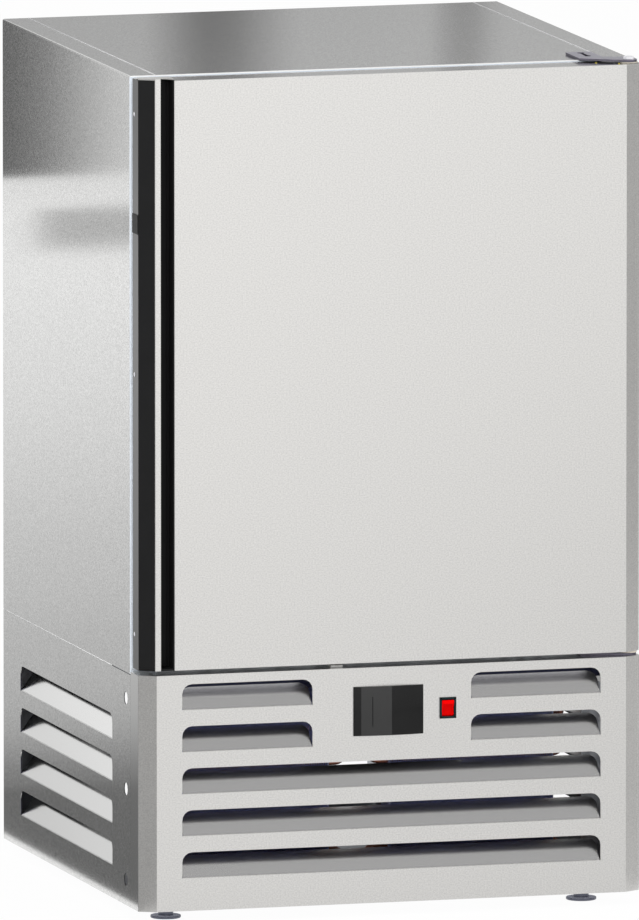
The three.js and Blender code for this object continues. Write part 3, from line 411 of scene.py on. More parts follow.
# ---- Mesh helpers, in millimetres ----
class Form:
    """Mesh under construction; at is the matrix that seats whatever is added next."""

    def __init__(self, at=Matrix()):
        self.bm = bmesh.new()
        self.at = at

    def loft(self, rings, caps=True):
        """Skin through rings of equally many points; a ring of one point is a pole."""
        rows = [[self.bm.verts.new(self.at @ Vector(p)) for p in ring] for ring in rings]
        count = max(len(row) for row in rows)
        for low, high in zip(rows, rows[1:]):
            for i in range(count):
                j = (i + 1) % count
                corners = [low[i % len(low)], low[j % len(low)], high[j % len(high)], high[i % len(high)]]
                unique = list(dict.fromkeys(corners))
                if len(unique) > 2:
                    self.bm.faces.new(unique)
        if caps and len(rows[0]) > 2:
            self.bm.faces.new(rows[0][::-1])
        if caps and len(rows[-1]) > 2:
            self.bm.faces.new(rows[-1])

    def lathe(self, profile, segments, closed=False):
        """Revolves [radius, height] points about z; closed joins the last point to the first."""
        turns = [2 * math.pi * i / segments for i in range(segments)]
        rings = []
        for radius, height in profile:
            steps = turns if radius > 0 else turns[:1]
            rings.append([(radius * math.cos(t), radius * math.sin(t), height) for t in steps])
        if closed:
            rings.append(rings[0])
        self.loft(rings, caps=not closed)
        if closed:
            bmesh.ops.remove_doubles(self.bm, verts=self.bm.verts, dist=1e-4)

    def prism(self, outline, low, high):
        """Outline in x and y, drawn up from low to high."""
        self.loft([[(x, y, z) for x, y in outline] for z in (low, high)])

    def block(self, x0, x1, y0, y1, z0, z1):
        self.prism([(x0, y0), (x1, y0), (x1, y1), (x0, y1)], z0, z1)

    def tube(self, path, radius, segments):
        """Round bar of one radius along a path of points."""
        points = [Vector(p) for p in path]
        side = None
        rings = []
        for i, point in enumerate(points):
            ahead = (points[min(i + 1, len(points) - 1)] - points[max(i - 1, 0)]).normalized()
            if side is None:
                side = ahead.orthogonal().normalized()
            side = (side - ahead * side.dot(ahead)).normalized()
            other = ahead.cross(side)
            turns = [2 * math.pi * k / segments for k in range(segments)]
            rings.append([point + (side * math.cos(t) + other * math.sin(t)) * radius for t in turns])
        self.loft(rings)

    def soften(self, width, segments=2, angle=30):
        """Rounds every edge that turns by more than the angle."""
        bmesh.ops.recalc_face_normals(self.bm, faces=self.bm.faces)
        limit = math.radians(angle)
        sharp = [e for e in self.bm.edges if len(e.link_faces) == 2 and e.calc_face_angle() > limit]
        bmesh.ops.bevel(self.bm, geom=sharp, offset=width, segments=segments, affect="EDGES",
                        profile=0.5, clamp_overlap=True)

    def piece(self, name, look, body, replaced=(), smooth=40):
        """Makes the object, seats it in the frame and lets it ride."""
        bmesh.ops.recalc_face_normals(self.bm, faces=self.bm.faces)
        mesh = bpy.data.meshes.new(name)
        self.bm.to_mesh(mesh)
        self.bm.free()
        mesh.transform(TO_FRAME)
        mesh.materials.append(MATERIALS[look])
        mesh.shade_smooth()
        mesh.set_sharp_from_angle(angle=math.radians(smooth))
        made = bpy.data.objects.new(name, mesh)
        bpy.context.scene.collection.objects.link(made)
        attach(made, body)
        if replaced:
            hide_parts(*replaced)


def rounded_path(corners, bend, steps=6):
    """Straight runs whose corners turn on one bend radius."""
    points = [Vector(c) for c in corners]
    path = [points[0]]
    for before, corner, after in zip(points, points[1:], points[2:]):
        first = (before - corner).normalized()
        second = (after - corner).normalized()
        half = first.angle(second) / 2
        shorter = min((before - corner).length, (after - corner).length)
        reach = min(bend / math.tan(half), shorter * 0.49)
        centre = corner + (first + second).normalized() * (reach / math.cos(half))
        start = corner + first * reach - centre
        end = corner + second * reach - centre
        path += [centre + start.slerp(end, k / steps) * start.length for k in range(steps + 1)]
    return path + [points[-1]]


# ---- Feet ----
def add_feet():
    """Flat pads under plain round blocks, each on a threaded stem."""
    pad = [(0, 0), (21.4, 0), (22, 0.6), (22, 3), (21.4, 3.6), (11.4, 3.8), (11, 4.4)]
    stem = [(11, 21), (6, 21), (6, 59.2), (5.2, 60), (0, 60)]
    core, crest = 5.9, 6.4
    turns, lowest_turn, pitch = 12, 23, 3
    for end in ("front", "back"):
        for side in ("left", "right"):
            body = f"foot_{end}_{side}"
            form = Form(Matrix.Translation((FEET[side], FEET[end], 0)))
            form.lathe(pad + stem, 40)
            for turn in range(turns):
                z = lowest_turn + turn * pitch
                form.lathe([(core, z), (crest, z + pitch / 4), (core, z + pitch / 2)], 20)
            form.piece(f"{body}_stem", "foot", body, (body,), smooth=30)


# ---- Seams ----
def add_top_seams():
    """Pale half-round beads along the joints between the top panel and the side skins, a painted
    highlight of the joints.
    """
    seam = 38.45  # from each side of the cabinet
    half_width, height = 0.95, 0.8
    base = CABINET_TOP + 0.02
    turns = [math.pi * k / 8 for k in range(9)]
    for name, x in (("left", seam), ("right", WIDTH - seam)):
        rings = []
        for y, size in ((58, 0.3), (59, 1), (737, 1), (738, 0.3)):
            across, rise = half_width * size, height * size
            rings.append([(x + across * math.cos(t), y, base + rise * math.sin(t)) for t in turns])
        bead = Form()
        bead.loft(rings)
        bead.piece(f"top_seam_{name}", "seam_highlight", "cabinet")


def add_side_seams():
    """White flat beads in the joints between the side skins and the lower sides: painted light for the
    light seen through the open joints.
    """
    inset, thick, clear = 0.1, 1, 0.05
    y0, y1 = 161, DEPTH - 0.5
    for name, x in (("left", inset), ("right", WIDTH - inset - thick)):
        bead = Form()
        bead.block(x, x + thick, y0, y1, LOWER_SIDE_TOP + clear, SIDE_SKIN_BOTTOM - clear)
        bead.soften(0.2)
        bead.piece(f"side_seam_{name}", "side_seam_light", "cabinet")


def add_hinge_screws():
    """Two small brass heads on the door's top end, under the bracket."""
    for i, (x, y) in enumerate(((688.5, 29), (717.5, 11))):
        head = Form(Matrix.Translation((x, y, DOOR_TOP)))
        head.lathe([(0, 0.05), (1.7, 0.05), (1.7, 0.6), (1.1, 1.2), (0, 1.35)], 16)
        head.piece(f"hinge_screw_{i + 1}", "brass", "door")


# ---- Refrigeration ----
def add_compressor():
    """Welded can on its foot plate."""
    seat = Matrix.Translation((*COMPRESSOR, 0))
    can = Form(seat)
    bottom = [(0, 38), (45, 38.5), (62, 41), (74, 47.5), (81, 58), (84, 74), (84, 139.5)]
    weld = [(86.2, 140.5), (86.6, 143), (86.2, 145.5)]
    dome = [
        (84, 146.5), (84, 190), (83, 203), (79.5, 216), (73, 227), (63, 236.5), (50, 243.5),
        (35, 248.5), (18, 251.3), (0, 252),
    ]
    can.lathe(bottom + weld + dome, 56)
    can.piece("compressor_can", "enamel", "cabinet", ("compressor",), smooth=50)
    plate = Form(seat)
    plate.block(-105, 105, -70, 70, 34.5, 38)
    plate.soften(1.2)
    plate.piece("compressor_plate", "enamel", "cabinet")
    add_compressor_mounts()
    add_compressor_fittings(seat)


def add_compressor_mounts():
    """Waisted rubber grommets under the plate's corners, each with a hexagon bolt."""
    waisted = [
        (0, 23.9), (12.6, 23.9), (13, 24.8), (12.4, 26), (9.6, 27.2), (9.2, 29), (9.8, 31), (12.4, 32.6),
        (13, 33.6), (12.4, 34.5), (0, 34.5),
    ]
    bolt_head = [(0, 38.2), (7.5, 38.2), (7.5, 39.4), (4.8, 39.6), (4.8, 43.5), (4, 44.2), (0, 44.4)]
    spots = [(x, y) for y in around(COMPRESSOR[1], 55) for x in around(COMPRESSOR[0], 90)]
    for i, (x, y) in enumerate(spots):
        spot = Matrix.Translation((x, y, 0))
        grommet = Form(spot)
        grommet.lathe(waisted, 24)
        grommet.piece(f"compressor_grommet_{i + 1}", "rubber", "cabinet")
        bolt = Form(spot)
        bolt.lathe(bolt_head, 6)
        bolt.piece(f"compressor_bolt_{i + 1}", "bright", "cabinet", smooth=25)


def add_compressor_fittings(seat):
    """Terminal cover behind the can and two pipe stubs on its dome."""
    cover = Form(seat)
    cover.block(-30, 30, 78, 109.5, 110, 180)
    cover.soften(4, segments=3)
    cover.piece("compressor_terminal_cover", "black", "cabinet")
    port = [(0, 222), (9.5, 224), (9.5, 229), (7.2, 231), (7.2, 262), (7.9, 263), (7.9, 265), (0, 265)]
    for i, across in enumerate((DISCHARGE_X, SUCTION_X)):
        stub = Form(seat @ Matrix.Translation((across, 0, 0)))
        stub.lathe(port, 24)
        stub.piece(f"compressor_port_{i + 1}", "copper", "cabinet")


def add_fins(name, coil, x0, x1, replaced=()):
    """Pack of thin upright plates."""
    half = 0.17
    count = round((x1 - x0) / coil["fin_pitch"])
    form = Form()
    for i in range(count + 1):
        x = x0 + (x1 - x0) * i / count
        form.block(x - half, x + half, coil["y0"], coil["y1"], coil["z0"], coil["fin_top"])
    form.piece(name, "fins", "cabinet", replaced, smooth=20)


def bend_path(x, y, z, half, out, axis=1):
    """Half-round return bend from z - half to z + half, whose arc starts this far out from x."""
    turns = [math.pi * k / 10 - math.pi / 2 for k in range(11)]
    arc = [(x + axis * (out + half * math.cos(t)), y, z + half * math.sin(t)) for t in turns]
    return [(x, y, z - half)] + arc + [(x, y, z + half)]


def add_condenser():
    """Two finned packs between end plates."""
    c = CONDENSER
    left, right = c["packs"]
    add_fins("condenser_fins_left", c, *left, ("condenser_coil",))
    add_fins("condenser_fins_right", c, *right)
    ends = Form()
    for x0, x1 in c["packs"]:
        for x in (x0 - 2, x1 - 0.5):
            ends.block(x, x + 2, c["y0"] - 2, c["y1"] + 2, BASE_FLOOR, c["fin_top"] + 4)
    ends.soften(0.4)
    ends.piece("condenser_end_plates", "fins", "cabinet")
    add_condenser_tubes()


def add_condenser_tubes():
    """Hairpins with return bends, one joining tube low and one high, and the inlet and outlet."""
    c = CONDENSER
    middle = CONDENSER_MIDDLE
    radius, sides = 4.8, 14
    rows = 5
    half = 12  # between a hairpin's middle and each of its legs
    (left0, left1), (right0, right1) = c["packs"]
    pitch = (c["z1"] - c["z0"]) / rows
    tubes = Form()
    for row in range(rows):
        z = c["z0"] + pitch * (row + 0.5)
        stagger = pitch / 2 if row < rows - 1 else 0
        for y in around(middle, 10):
            for x0, x1 in c["packs"]:
                for leg_z in around(z, half):
                    tubes.tube([(x0 - 1, y, leg_z), (x1 + 1, y, leg_z)], radius, sides)
            tubes.tube(bend_path(right1 + 1, y, z, half, 3), radius, sides)
            tubes.tube(bend_path(left1 + 1, y, z, half, 13), radius, sides)
            tubes.tube(bend_path(right0 - 1, y, z, half, 16, -1), radius, sides)
            tubes.tube(bend_path(left0 - 1, y, z + stagger, half, 3, -1), radius, sides)
    for z in (c["z0"] + 5, c["z1"] - 5):
        tubes.tube([(left1 - 6, middle, z), (right0 + 6, middle, z)], radius, sides)
    port_radius, port_sides = 5, 16
    inlet = [(60, middle, c["inlet_z"]), (left0 + 4, middle, c["inlet_z"])]
    tubes.tube(inlet, port_radius, port_sides)
    x, z = c["outlet_x"], c["outlet_z"]
    outlet = [(right1, middle, z), (x, middle, z), (x, c["y1"] + 6, z)]
    tubes.tube(rounded_path(outlet, 10), port_radius, port_sides)
    tubes.piece("condenser_tubes", "copper", "cabinet")


def add_corner_plates():
    """Upright plates that widen the base frame's two rear posts."""
    inset, across = 4, 76
    y0, y1, z0, z1 = 734.6, 735.8, 24, 358
    for side, x in (("left", inset), ("right", WIDTH - inset - across)):
        plate = Form()
        plate.block(x, x + across, y0, y1, z0, z1)
        plate.soften(0.3)
        plate.piece(f"corner_plate_{side}", "zinc", "cabinet")


def add_evaporator():
    """Finned block behind the fan, with level tubes and their return bends."""
    e = EVAPORATOR
    radius, sides, rows = 5, 12, 10
    middle = (e["y0"] + e["y1"]) / 2
    add_fins("evaporator_fins", e, e["x0"], e["x1"], ("evaporator_coil",))
    ends = Form()
    for x in (e["x0"] - 2.6, e["x1"] + 0.6):
        ends.block(x, x + 2, e["y0"] - 2, e["plate_back"], e["z0"] - 6, e["z1"] + 6)
    ends.soften(0.4)
    ends.piece("evaporator_end_plates", "zinc", "cabinet")
    tubes = Form()
    pitch = (e["z1"] - e["z0"]) / rows
    for y in around(middle, 18):
        for row in range(rows):
            z = e["z0"] + pitch * (row + 0.5)
            tubes.tube([(e["x0"] - 3, y, z), (e["x1"] + 3, y, z)], radius, sides)
        for pair in range(rows // 2):
            z = e["z0"] + pitch * (2 * pair + 1)
            tubes.tube(bend_path(e["x1"] + 3, y, z, pitch / 2, -10), radius, sides)
    tubes.piece("evaporator_tubes", "copper", "cabinet")


# ---- Fans ----
def blade_ring(radius, sweep, chord, pitch):
    """Closed aerofoil section wrapped round the axis at one radius."""
    samples, camber, thick, edge = 9, 2.6, 1.5, 0.25
    upper, lower = [], []
    for i in range(samples):
        s = i / (samples - 1)
        half = thick * math.sqrt(max(s * (1 - s), 0)) + edge
        along = (s - 0.5) * chord
        bow = camber * 4 * s * (1 - s)
        for height, row in ((bow + half, upper), (bow - half, lower)):
            run = along * math.cos(pitch) - height * math.sin(pitch)
            rise = along * math.sin(pitch) + height * math.cos(pitch)
            t = sweep + run / radius
            row.append((radius * math.cos(t), radius * math.sin(t), rise))
    return upper + lower[::-1]


def add_fan(body, centre, tip, hub, depth, shaft, chord):
    """Rotor of swept aerofoil blades on a moulded hub, with the shaft's end behind it."""
    form = Form(Matrix.Translation(centre) @ FACE_BACK)
    half = depth / 2
    form.lathe([
        (0, -half), (hub * 0.62, -half + 0.4), (hub * 0.86, -half + 2.4), (hub * 0.97, -half + 6),
        (hub, -half + 11), (hub, half), (hub - 2, half), (hub - 2, half - 3), (6.5, half - 3),
        (6.5, half + 3), (4, half + 3), (4, half + shaft), (0, half + shaft),
    ], 40)
    blades, steps = 5, 8
    root = hub - 1.5  # the blades' roots are sunk into the hub
    root_pitch, tip_pitch = 38, 21  # degrees
    sweep = 0.28  # turn of the tip ahead of the root, in radians
    for k in range(blades):
        start = 2 * math.pi * k / blades
        rings = []
        for i in range(steps + 1):
            s = i / steps
            pitch = math.radians(root_pitch + (tip_pitch - root_pitch) * s)
            swell = 0.78 + 0.42 * math.sin(math.pi * min(1, s * 0.62 + 0.2))
            trim = 1 if i < steps else 0.86
            width = chord * swell * trim
            rings.append(blade_ring(root + (tip - root) * s, start + sweep * s * s, width, pitch))
        form.loft(rings)
    form.piece(f"{body}_rotor", "black", body, (body,), smooth=45)


def add_motor(node, centre, radius, length):
    """Round can with a fluted side."""
    form = Form(Matrix.Translation(centre) @ FACE_BACK)
    form.lathe([
        (4.9, 1), (radius * 0.5, 0.6), (radius * 0.55, 2), (radius * 0.9, 4), (radius - 0.6, 8),
        (radius, 10), (radius, length - 8), (radius - 1.2, length - 4), (radius - 5, length - 1),
        (radius * 0.4, length - 0.4), (0, length - 0.4),
    ], 48)
    ribs = 24
    for k in range(ribs):
        turn = Matrix.Rotation(2 * math.pi * k / ribs, 4, "Z")
        form.at = Matrix.Translation(centre) @ FACE_BACK @ turn
        form.block(radius - 0.6, radius + 1.2, -0.7, 0.7, 12, length - 10)
    form.piece(f"{node}_can", "enamel", "cabinet", (node,))


def add_condenser_fans():
    """Two rotors with their motors, each motor hung on two bent wires."""
    shroud = CONDENSER["y1"] + 2.3
    for side, x in CONDENSER_FANS.items():
        centre = (x, shroud + 24, CONDENSER_FAN_HEIGHT)
        add_fan(f"condenser_fan_{side}", centre, tip=91.5, hub=26, depth=24, shaft=18, chord=52)
        motor = (x, shroud + 38, CONDENSER_FAN_HEIGHT)
        add_motor(f"condenser_motor_{side}", motor, radius=31.5, length=45)
        reach, front, back = 116.5, -36, 46.5
        strap = Form(Matrix.Translation(motor))
        for dz in (-12, 12):
            ends = [(-reach, front, dz), (-reach, back, dz), (reach, back, dz), (reach, front, dz)]
            strap.tube(rounded_path(ends, 12), 1.5, 10)
        strap.block(-34, 34, 44.6, 46, -15, 15)
        strap.piece(f"condenser_motor_{side}_bracket", "bright", "cabinet")


def add_evaporator_fan():
    """Large rotor, its motor and the bar across the cover that carries it."""
    x, z = FAN_CENTRE
    add_fan("evaporator_fan", (x, 525, z), tip=141.5, hub=40, depth=30, shaft=20, chord=80)
    add_motor("evaporator_motor", (x, 546, z), radius=40.5, length=37)
    bar = Form()
    bar.block(106.7, 643.3, 582.7, 585.8, z - 20, z + 20)
    bar.soften(0.8)
    bar.piece("evaporator_motor_bar", "zinc", "cabinet")


def add_fan_guard():
    """Rings of wire on spokes, round a pressed middle."""
    x, z = FAN_CENTRE
    form = Form(Matrix.Translation((x, 490.7, z)) @ FACE_BACK)
    wire, spokes = 1.1, 10
    outer_ring = 156
    for radius in range(46, outer_ring + 1, 11):
        height = 2 if radius < outer_ring else 6.5
        turns = [math.pi * k / 4 for k in range(8)]
        section = [(radius + wire * math.cos(t), height + wire * math.sin(t)) for t in turns]
        form.lathe(section, 64, closed=True)
    spoke = [(30, 3.2), (100, 3.2), (146, 3.8), (155, 8.3)]
    for k in range(spokes):
        t = 2 * math.pi * k / spokes + math.pi / 2
        form.tube([(r * math.cos(t), r * math.sin(t), h) for r, h in spoke], 1.3, 8)
    form.lathe([(0, 1.2), (30, 1.2), (33.5, 2.2), (34, 3.6), (33, 4.6), (0, 4.6)], 48)
    form.piece("evaporator_fan_guard_wires", "black", "cabinet", ("evaporator_fan_guard",))


# ---- Piping ----
def add_pipes():
    """Copper runs from the compressor to both coils, at the places of the solids they replace."""
    x, y = COMPRESSOR
    stub_top = 265.3
    middle, inlet_z = CONDENSER_MIDDLE, CONDENSER["inlet_z"]
    discharge_x, discharge_z, left_x = x + DISCHARGE_X, 325, 40
    suction_x, suction_z = x + SUCTION_X, 335
    riser_x, riser_y, coil_x = 677, 642, 628.5
    outlet_x, outlet_z = CONDENSER["outlet_x"], CONDENSER["outlet_z"]
    discharge = [
        (discharge_x, y, stub_top), (discharge_x, y, discharge_z), (left_x, y, discharge_z),
        (left_x, middle, discharge_z), (left_x, middle, inlet_z), (59.7, middle, inlet_z),
    ]
    suction = [
        (suction_x, y, stub_top), (suction_x, y, suction_z), (riser_x, y, suction_z),
        (riser_x, riser_y, suction_z), (riser_x, riser_y, 610), (coil_x, riser_y, 610),
    ]
    liquid = [
        (outlet_x, 271.6, outlet_z), (outlet_x, 500, outlet_z), (653, riser_y, outlet_z),
        (653, riser_y, 540), (coil_x, riser_y, 540),
    ]
    for name, corners, radius, bend in (
        ("discharge_pipe", discharge, 4.9, 16),
        ("suction_pipe", suction, 6.9, 20),
        ("liquid_pipe", liquid, 3.9, 14),
    ):
        form = Form()
        form.tube(rounded_path(corners, bend, 8), radius, 20)
        form.piece(f"{name}_run", "copper", "cabinet", (name,))


# ---- Front panel ----
def add_display():
    """Controller's face, bowed forward across its width."""
    d = DISPLAY
    form = Form()
    columns = 40
    bow = d["crown"] - d["edge"]
    front = []
    for i in range(columns + 1):
        s = i / columns
        front.append((d["x0"] + (d["x1"] - d["x0"]) * s, d["edge"] + bow * 4 * s * (1 - s)))
    back = -0.35
    outline = front + [(d["x1"], back), (d["x0"], back)]
    form.prism(outline, d["z0"], d["z1"])
    form.soften(0.7, angle=50)
    form.piece("display_face", "gloss", "cabinet", ("controller_face",), smooth=30)


def add_display_marks():
    """Slim light bar and a dot set into the controller's face; the bar lies in its painted reflection
    strip.
    """
    bar = Form()
    bar.block(344.3, 345.6, -5.2, -4.5, 277, 320.5)
    bar.piece("display_bar", "black", "cabinet")
    dot = Form(Matrix.Translation((394.7, -4.2, 319.9)) @ FACE_BACK)
    dot.lathe([(0, -0.95), (0.9, -0.95), (0.9, 0.6), (0, 0.6)], 16)
    dot.piece("display_dot", "black", "cabinet")


def add_rocker():
    """Dished switch face between two crowns; its lower half lies pressed in at rest."""
    axis = ((SWITCH["x0"] + SWITCH["x1"]) / 2, 6, (SWITCH["z0"] + SWITCH["z1"]) / 2)
    tilt = math.radians(7)
    form = Form(Matrix.Translation(axis) @ Matrix.Rotation(tilt, 4, "X"))
    half = [
        (-6.0, 0), (-6.15, 3), (-6.7, 6), (-7.45, 8.1), (-7.65, 8.6), (-7.5, 9.1), (-6.4, 11.7),
        (-6.1, 11.9),
    ]
    profile = [(y, -z) for y, z in half[:0:-1]] + half
    outline = profile + [(6, 6.8), (6, -6.8)]
    form.loft([[(x, y, z) for y, z in outline] for x in (-8.8, 8.8)])
    form.soften(0.5, angle=60)
    form.piece("power_rocker_key", "red", "rocker", ("power_rocker",), smooth=35)


def add_pieces():
    add_feet()
    add_compressor()
    add_condenser()
    add_corner_plates()
    add_evaporator()
    add_condenser_fans()
    add_evaporator_fan()
    add_fan_guard()
    add_pipes()
    add_display()
    add_display_marks()
    add_rocker()
    add_top_seams()
    add_side_seams()
    add_hinge_screws()


# ---- Studio, in metres ----
BACK_WALL, FRONT_WALL = 2.2, -2.7
LEFT_WALL, RIGHT_WALL = -2.4, 2.3
WALL_FOOT, WALL_TOP = 0.01, 3.2
NEAR_BOARD = {"x0": -1.3, "x1": -0.42, "y": 0.95, "top": 0.913}  # behind the cabinet, to its left


def add_camera():
    """Long lens far in front, a little to the left and above."""
    data = bpy.data.cameras.new("camera")
    data.lens = VIEW_LENS
    data.clip_end = FAR_CLIP
    camera = bpy.data.objects.new("camera", data)
    bpy.context.scene.collection.objects.link(camera)
    sideways, forwards = math.sin(VIEW_AZIMUTH), math.cos(VIEW_AZIMUTH)
    level, rise = math.cos(VIEW_ELEVATION), math.sin(VIEW_ELEVATION)
    back = Vector((sideways * level, -forwards * level, rise))
    turn = (-back).to_track_quat("-Z", "Y")
    across, up = (turn @ Vector(axis) for axis in ((1, 0, 0), (0, 1, 0)))
    dx, dy = (offset * METRES_PER_PX for offset in CENTRE_OFFSET_PX)
    camera.location = AIM + back * VIEW_DISTANCE - across * dx - up * dy
    camera.rotation_mode = "QUATERNION"
    camera.rotation_quaternion = turn
    bpy.context.scene.camera = camera


def plane(name, corners, material):
    """Flat four-cornered stage sheet."""
    mesh = bpy.data.meshes.new(name)
    mesh.from_pydata([Vector(c) for c in corners], [], [(0, 1, 2, 3)])
    mesh.materials.append(material)
    sheet = bpy.data.objects.new(name, mesh)
    bpy.context.scene.collection.objects.link(sheet)
    return sheet


def upright_x(x, y0, y1, z0, z1):
    return [(x, y0, z0), (x, y1, z0), (x, y1, z1), (x, y0, z1)]


def upright_y(y, x0, x1, z0, z1):
    return [(x0, y, z0), (x1, y, z0), (x1, y, z1), (x0, y, z1)]


def level_z(z, x0, x1, y0, y1):
    return [(x0, y0, z), (x1, y0, z), (x1, y1, z), (x0, y1, z)]


def seen_by_eye(tree):
    """1 for camera, mirror and glass rays, 0 for the rest."""
    path = tree.nodes.new("ShaderNodeLightPath")
    total = path.outputs["Is Camera Ray"]
    for name in ("Is Glossy Ray", "Is Transmission Ray"):
        both = tree.nodes.new("ShaderNodeMath")
        both.operation = "MAXIMUM"
        tree.links.new(total, both.inputs[0])
        tree.links.new(path.outputs[name], both.inputs[1])
        total = both.outputs["Value"]
    return total


def add_world(strength):
    """White all round: at full level for the eye, and at this strength for the light it gives."""
    world = bpy.data.worlds.new("studio")
    bpy.context.scene.world = world
    world.use_nodes = True
    tree = world.node_tree
    background = tree.nodes["Background"]
    background.inputs["Color"].default_value = (1, 1, 1, 1)
    level = tree.nodes.new("ShaderNodeMapRange")
    level.inputs["To Min"].default_value = strength
    tree.links.new(seen_by_eye(tree), level.inputs["Value"])
    tree.links.new(level.outputs["Result"], background.inputs["Strength"])


def add_floor(glow_share):
    """Matt white floor; this share of what the eye sees is its glow, which hides its edge."""
    material = bpy.data.materials.new("floor")
    material.use_nodes = True
    tree = material.node_tree
    shader = tree.nodes["Principled BSDF"]
    shader.inputs["Base Color"].default_value = (0.95, 0.95, 0.95, 1)
    shader.inputs["Roughness"].default_value = 0.9
    glow = tree.nodes.new("ShaderNodeEmission")
    mix = tree.nodes.new("ShaderNodeMixShader")
    share = tree.nodes.new("ShaderNodeMath")
    share.operation = "MULTIPLY"
    share.inputs[1].default_value = glow_share
    tree.links.new(seen_by_eye(tree), share.inputs[0])
    tree.links.new(share.outputs["Value"], mix.inputs["Fac"])
    tree.links.new(shader.outputs["BSDF"], mix.inputs[1])
    tree.links.new(glow.outputs["Emission"], mix.inputs[2])
    tree.links.new(mix.outputs["Shader"], tree.nodes["Material Output"].inputs["Surface"])
    reach, drop = 60, -0.0005
    plane("floor", level_z(drop, -reach, reach, -reach, reach), material)


def ramp(tree, levels, axis):
    """Level along one axis, from (place in metres, level) pairs."""
    first, last = levels[0][0], levels[-1][0]
    shade = tree.nodes.new("ShaderNodeValToRGB")
    stops = shade.color_ramp.elements
    while len(stops) < len(levels):
        stops.new(0.5)
    for stop, (place, level) in zip(stops, levels):
        stop.position = (place - first) / (last - first)
        stop.color = (level, level, level, 1)
    place = tree.nodes.new("ShaderNodeTexCoord")
    split = tree.nodes.new("ShaderNodeSeparateXYZ")
    scale = tree.nodes.new("ShaderNodeMapRange")
    scale.inputs["From Min"].default_value = first
    scale.inputs["From Max"].default_value = last
    tree.links.new(place.outputs["Object"], split.inputs["Vector"])
    tree.links.new(split.outputs[axis], scale.inputs["Value"])
    tree.links.new(scale.outputs["Result"], shade.inputs["Fac"])
    return shade.outputs["Color"]


def card(name, corners, **levels):
    """Glowing board that only polished surfaces see; its level is the product of its axes' ramps."""
    material = bpy.data.materials.new(name)
    material.use_nodes = True
    tree = material.node_tree
    tree.nodes.remove(tree.nodes["Principled BSDF"])
    glow = tree.nodes.new("ShaderNodeEmission")
    total = None
    for axis, pairs in levels.items():
        shade = ramp(tree, pairs, axis)
        if total:
            both = tree.nodes.new("ShaderNodeVectorMath")
            both.operation = "MULTIPLY"
            tree.links.new(total, both.inputs[0])
            tree.links.new(shade, both.inputs[1])
            shade = both.outputs["Vector"]
        total = shade
    tree.links.new(total, glow.inputs["Color"])
    tree.links.new(glow.outputs["Emission"], tree.nodes["Material Output"].inputs["Surface"])
    board = plane(name, corners, material)
    board.visible_camera = False
    board.visible_diffuse = False
    board.visible_transmission = False
    board.visible_volume_scatter = False
    board.visible_shadow = False


def add_back_cards():
    """The wall behind and a brighter band along its top."""
    reach, band_foot = 3.2, 1.75
    columns = [
        (-3.2, 0.55), (-1.13, 0.86), (-1.09, 0.80), (-1.055, 0.735), (-1.03, 0.59), (-1.0, 0.42),
        (-0.975, 0.265), (-0.95, 0.16), (-0.92, 0.105), (-0.84, 0.10), (-0.6, 0.43), (0.35, 0.43),
        (0.44, 0.18), (0.49, 0.20), (0.59, 0.45), (0.80, 0.46), (0.84, 0.30), (0.87, 0.30),
        (0.91, 0.46), (3.2, 0.46),
    ]
    card("card_back", upright_y(BACK_WALL, -reach, reach, WALL_FOOT, WALL_TOP), X=columns)
    band = upright_y(BACK_WALL - 0.01, -reach, reach, band_foot, WALL_TOP)
    card("card_high", band, Z=[(band_foot, 0.85), (WALL_TOP, 0.85)])


def add_near_cards():
    """A board close to the left side, brighter towards its top, and a darker band before it."""
    near = NEAR_BOARD
    rise = [
        (0.0, 0.225), (0.03, 0.275), (0.06, 0.37), (0.09, 0.455), (0.12, 0.505), (0.155, 0.545),
        (0.19, 0.562), (0.23, 0.583), (0.30, 0.64), (0.37, 0.68), (0.45, 0.75), (0.52, 0.81),
        (0.6, 0.87), (0.75, 0.95), (0.86, 0.97), (0.89, 0.91), (0.913, 0.91),
    ]
    card("card_near_left", upright_y(near["y"], near["x0"], near["x1"], 0, near["top"]), Z=rise)
    band = upright_y(near["y"] - 0.01, -0.84, -0.588, 0.80, 0.865)
    card("card_band_left", band, Z=[(0.80, 0.8), (0.82, 0.51), (0.865, 0.51)])


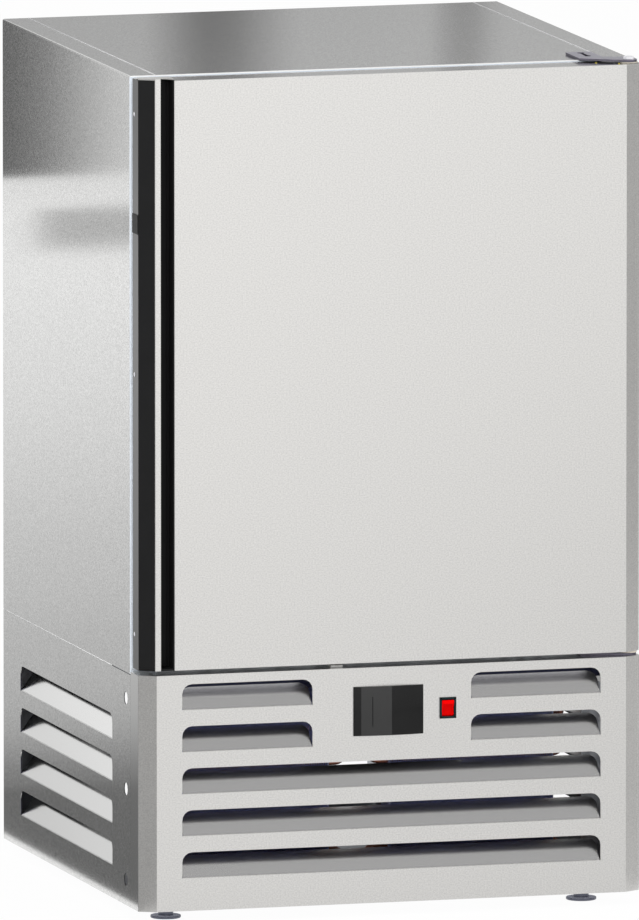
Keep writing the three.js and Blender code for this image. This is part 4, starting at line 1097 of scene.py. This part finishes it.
def add_wall_cards():
    """The walls at both sides, the ceiling and the bright front wall."""
    left_end, right_end = -3.4, -1.9
    left = upright_x(LEFT_WALL, left_end, BACK_WALL, WALL_FOOT, WALL_TOP)
    card("card_left", left, Y=[(left_end, 0.36), (BACK_WALL, 0.46)])
    right = upright_x(RIGHT_WALL, right_end, BACK_WALL, WALL_FOOT, WALL_TOP)
    card("card_right", right, Y=[(right_end, 0.36), (-0.5, 0.36), (BACK_WALL, 0.5)])
    ceiling = level_z(2.9, LEFT_WALL, RIGHT_WALL, FRONT_WALL, BACK_WALL)
    card("card_top", ceiling, Y=[(FRONT_WALL, 0.34), (BACK_WALL, 0.34)])
    across = [
        (-1.2, 1.0), (0.2, 1.0), (0.34, 0.99), (0.58, 0.95), (0.77, 0.93), (0.95, 0.88), (1.15, 0.86),
        (2.3, 0.84),
    ]
    up = [
        (0.0, 0.86), (0.07, 0.88), (0.22, 0.91), (0.36, 0.95), (0.51, 0.97), (0.66, 0.99), (0.85, 1.0),
        (3.2, 1.0),
    ]
    card("card_front", upright_y(FRONT_WALL, -1.2, RIGHT_WALL, WALL_FOOT, WALL_TOP), X=across, Z=up)


def add_floor_cards():
    """Boards just above the floor, in front of the object and at its sides."""
    low, high = 0.002, 0.003
    near = NEAR_BOARD
    across = [
        (-0.36, 0.82), (0.0, 0.80), (0.4, 0.755), (0.9, 0.69), (1.15, 0.50), (1.3, 0.38), (1.9, 0.36),
    ]
    along = [(-2.7, 1.0), (-1.0, 0.98), (-0.6, 0.93), (-0.38, 0.9)]
    card("card_floor_front", level_z(low, -0.36, 1.9, FRONT_WALL, -0.38), X=across, Y=along)
    near_end = -0.45
    left = level_z(high, LEFT_WALL, near["x1"], -3.4, near_end)
    card("card_floor_left", left, X=[(LEFT_WALL, 0.36), (near["x1"], 0.30)])
    beside = level_z(high, near["x0"], near["x1"], near_end, near["y"])
    card("card_floor_near", beside, Y=[(near_end, 0.15), (near["y"], 0.178)])
    right = level_z(high, 0.5, RIGHT_WALL, -0.5, BACK_WALL)
    card("card_floor_right", right, X=[(0.5, 0.5), (RIGHT_WALL, 0.5)])


def add_lamp(name, place, size, power):
    """Square lamp turned towards the object."""
    data = bpy.data.lights.new(name, "AREA")
    data.shape = "SQUARE"
    data.size = size
    data.energy = power
    lamp = bpy.data.objects.new(name, data)
    lamp.location = place
    lamp.rotation_mode = "QUATERNION"
    lamp.rotation_quaternion = (AIM - Vector(place)).to_track_quat("-Z", "Y")
    bpy.context.scene.collection.objects.link(lamp)


def build_studio():
    """Everything round the object; the boards' reflections give the polished steel its greys."""
    add_camera()
    add_world(strength=0.55)
    add_floor(glow_share=0.97)
    add_back_cards()
    add_near_cards()
    add_wall_cards()
    add_floor_cards()
    add_lamp("key", (-2.2, -3.2, 3.4), size=2.5, power=90)
    add_lamp("fill", (3.0, -2.0, 1.8), size=2.0, power=40)
    bpy.context.scene.view_settings.view_transform = "Standard"


build_studio()
dress_nodes()
add_pieces()
